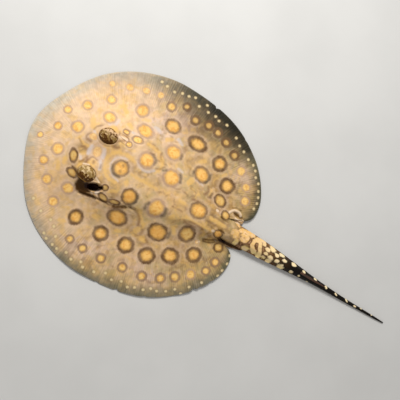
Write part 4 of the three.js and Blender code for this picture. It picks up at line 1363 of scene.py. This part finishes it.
def ocelli(g, colour, inward, wobble, fine, stripes):
    """Eye-spots: a pale halo, a brown ring and a light golden centre, all soft-edged."""
    kind = g.separate(g.colour_field("spot_kind"))
    core, ring_depth, tone = kind[0], kind[1], kind[2]
    spot = g.plus(g.field("spot"), g.times(wobble, 0.34))
    spot = g.plus(spot, g.times(fine, 0.12))
    rough = g.minus(spot, g.times(stripes, 0.14))
    halo = g.times(g.ramp(spot, 1.60, 1.10), g.ramp(inward, 15, 27, 0, 0.36))
    colour = g.blend(halo, colour, HALO)
    uneven = g.ramp(g.noise(4.5, 2, shift=63), 0.36, 0.64, 0.80, 1.0)
    ring = g.times(g.ramp(rough, 1.20, 0.90), g.ramp(ring_depth, 0.0, 0.70, 0.2, 0.95))
    pigment = g.blend(g.ramp(ring_depth, 0.46, 0.66), RING_MAUVE, RING_BROWN)
    pigment = g.blend(g.ramp(ring_depth, 0.68, 0.95), pigment, RING)
    colour = g.blend(g.times(ring, uneven), colour, pigment)
    centre = g.blend(g.maths("MAXIMUM", tone, 0.0), PALE_YELLOW, ORANGE)
    flecks = g.ramp(g.noise(2.6, 2.5, 0.6, shift=11), 0.44, 0.64, 0, 0.72)
    centre = g.blend(flecks, centre, ORANGE)
    greenish = g.maths("MAXIMUM", g.times(tone, -1.0), 0.0)
    centre = g.blend(greenish, centre, OLIVE_YELLOW)
    rim = g.minus(spot, core)
    edge = g.ramp(rim, -0.40, 0.02, 0, 0.80)
    edge = g.times(edge, g.ramp(ring_depth, 0.4, 0.9, 0.45, 1.0))
    centre = g.blend(edge, centre, RIM_GOLD)
    cover = g.times(g.ramp(rim, 0.14, -0.20), g.ramp(ring_depth, 0.1, 0.45, 0.60, 1.0))
    return g.blend(cover, colour, centre)


def margin_dots(g, colour, fine):
    """Cream dots of the margin, each in a dusky surround."""
    dot = g.plus(g.field("dot"), g.times(fine, 0.6))
    colour = g.blend(g.ramp(dot, 2.3, 1.1, 0, 0.26), colour, RING)
    return g.blend(g.ramp(dot, 1.60, 0.50, 0, 0.94), colour, DOT_CREAM)


def tail_colour(g, colour, tail, wobble):
    """Pale blotches on brown that darkens to black down the tail."""
    along = g.axis("Y")
    dark = g.blend(g.ramp(along, 104, 134), TAIL_BROWN, TAIL_BLACK)
    patchy = g.ramp(g.noise(2.0, 3, 0.8, shift=23), 0.40, 0.60)
    fading = g.ramp(along, 122, 92, 0.0, 0.80)
    base = g.blend(g.times(patchy, fading), dark, TAIL_ROSE)
    reach = g.times(tail, g.ramp(along, 74, 88))
    colour = g.blend(reach, colour, base)
    blotch = g.plus(g.field("blotch"), g.times(wobble, 1.5))
    near = g.ramp(along, 68, 83)
    outline = g.times(g.ramp(blotch, 1.7, 1.2), g.ramp(along, 78, 98, 0.25, 0.85))
    colour = g.blend(g.times(outline, near), colour,
                     g.blend(g.ramp(along, 100, 126), TAIL_OUTLINE, TAIL_BLACK))
    pale = g.blend(g.ramp(along, 84, 128), TAIL_GOLD, TAIL_CREAM)
    # Painted light: blotches on the tail's left side, which faces away from the lamp, are painted
    # lighter to make up for its shade.
    pale = g.blend(g.ramp(g.axis("X"), 0.5, 4.0, 0, 0.8), pale, TAIL_PAINTED_LIGHT)
    pale = g.blend(g.ramp(g.noise(2.2, 2, shift=41), 0.4, 0.7, 0, 0.5), pale, TAIL_PEACH)
    return g.blend(g.times(g.ramp(blotch, 1.30, 0.66), near), colour, pale)


def eye_material(eye):
    """Mottled skin of the bulb, round a black pupil in a gold iris."""
    g = Nodes(eye.name)
    outward = g.times(g.minus(g.axis("X"), float(eye.centre[0])), eye.side)
    pale = g.ramp(g.noise(2.0, 2.5, shift=9), 0.46, 0.62, 0, 0.85)
    # Painted shade: the side of each bulb away from the lamp has more dark blots, the left bulb's outer
    # side and the right bulb's side towards the midline.
    if eye.side == LEFT:
        light, blot_size = EYE_CREAM, 1.5
        shaded_side_limit = g.ramp(outward, -2.0, 3.2, 0.72, 0.38)
    else:
        light, blot_size = EYE_PINK, 1.8
        shaded_side_limit = g.ramp(outward, -4.4, 0.2, 0.34, 0.56)
        # Painted light: the right bulb's outer side, which faces the lamp, is painted paler.
        pale = g.maths("MAXIMUM", g.times(pale, 0.6), g.ramp(outward, 0.5, 4.5))
    base = g.blend(pale, EYE_OLIVE, light)
    blots = g.noise(blot_size, 2.5, 0.4, shift=12)
    over = g.minus(blots, shaded_side_limit)
    threads = g.maths("ABSOLUTE", g.minus(g.noise(1.3, 1.5, 0.5, shift=4), 0.5))
    colour = g.blend(g.ramp(threads, 0.045, 0.015, 0, 0.6), base, EYE_BROWN)
    colour = g.blend(g.ramp(over, -0.06, 0.0, 0, 0.8), colour, EYE_BROWN)
    colour = g.blend(g.ramp(over, 0.0, 0.06, 0, 0.96), colour, EYE_DARK)
    specks = g.ramp(g.noise(0.95, 2, shift=47), 0.60, 0.68, 0, 0.85)
    colour = g.blend(specks, colour, EYE_DARK)
    ragged = g.times(g.minus(g.noise(1.2), 0.5), 0.3)
    pupil = g.plus(g.field("pupil"), ragged)
    colour = g.blend(g.ramp(pupil, 1.60, 1.35), colour, EYE_GOLD)
    colour = g.blend(g.ramp(pupil, 1.10, 0.95), colour, EYE_BLACK)
    g.feed(g.shader.inputs["Base Color"], colour)
    g.feed(g.shader.inputs["Roughness"], g.ramp(pupil, 1.2, 1.6, 0.06, 0.36))
    g.feed(g.shader.inputs["Normal"], g.bump(blots, BULB_RELIEF))
    g.shader.inputs["Specular IOR Level"].default_value = EYE_SPECULAR
    return g.material


def sting_material():
    """Dark horn, streaked lengthwise."""
    g = Nodes("sting")
    streak = g.noise(1.2, 3, stretch=(3, 0.25, 1))
    colour = g.blend(g.ramp(streak, 0.35, 0.65), STING_DARK, STING_LIGHT)
    g.feed(g.shader.inputs["Base Color"], colour)
    g.feed(g.shader.inputs["Roughness"], g.ramp(streak, 0.3, 0.7, 0.35, 0.5))
    g.feed(g.shader.inputs["Normal"], g.bump(streak, STING_RELIEF))
    return g.material


def floor_material():
    """Plain pale grey, hardly clouded."""
    g = Nodes("floor")
    tone = g.ramp(g.noise(60, 3), 0.3, 0.7)
    g.feed(g.shader.inputs["Base Color"], g.blend(tone, FLOOR_DARK, FLOOR_LIGHT))
    g.shader.inputs["Roughness"].default_value = 0.7
    return g.material


# ------------------------------------------------------------------ stage
FLOOR_HALF = 4000.0
KEY_TARGET = (0.0, 10.0, 5.0)
KEY_AZIMUTH, KEY_ELEVATION = 208.0, 48.0
KEY_DISTANCE, KEY_SIZE, KEY_POWER = 640.0, 240.0, 3.75
KEY_COLOUR = (1.0, 0.98, 0.94)
FLOOR_DROP = 0.02                 # the floor lies this much under the belly
FILL_COLOUR, FILL_STRENGTH = (1.0, 0.98, 0.95), 0.45


def make_floor():
    h = FLOOR_HALF
    floor = new_object("floor", [(-h, -h, 0), (h, -h, 0), (h, h, 0), (-h, h, 0)], [[0, 1, 2, 3]])
    floor.location.z = -FLOOR_DROP * UNIT
    floor.data.materials.append(floor_material())


def make_lights():
    """One soft lamp and an even sky."""
    data = bpy.data.lights.new("key", "AREA")
    data.shape = "DISK"
    data.size = KEY_SIZE * UNIT
    data.energy = KEY_POWER
    data.color = KEY_COLOUR
    key = bpy.data.objects.new("key", data)
    bpy.context.scene.collection.objects.link(key)
    direction = plan_direction(KEY_AZIMUTH, KEY_ELEVATION)
    key.location = (Vector(KEY_TARGET) + direction * KEY_DISTANCE) * UNIT
    key.rotation_euler = direction.to_track_quat("Z", "Y").to_euler()
    world = bpy.data.worlds.new("world")
    world.use_nodes = True
    background = world.node_tree.nodes["Background"]
    background.inputs["Color"].default_value = (*FILL_COLOUR, 1.0)
    background.inputs["Strength"].default_value = FILL_STRENGTH
    bpy.context.scene.world = world
    bpy.context.scene.view_settings.view_transform = "Standard"


# ------------------------------------------------------------------ assembly
FLESH = ["head", "trunk", "pectoral_fin_left", "pectoral_fin_right", "pelvic_fin_left",
         "pelvic_fin_right", "tail_base", "tail_middle", "tail_tip"]


def dress(obj, material, slot, *nodes):
    """Gives a piece its material, hangs it from the root body and hides the solids that it stands for.
    """
    obj.data.materials.append(material)
    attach(obj, "root")
    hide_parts(*nodes)


def main():
    make_camera()
    make_floor()
    make_lights()
    dress(make_skin(), skin_material(), "back_skin", *FLESH)
    for eye in EYES:
        dress(make_eye(eye), eye_material(eye), "eye", eye.name)
    dress(make_sting(), sting_material(), "sting", "tail_sting")


main()
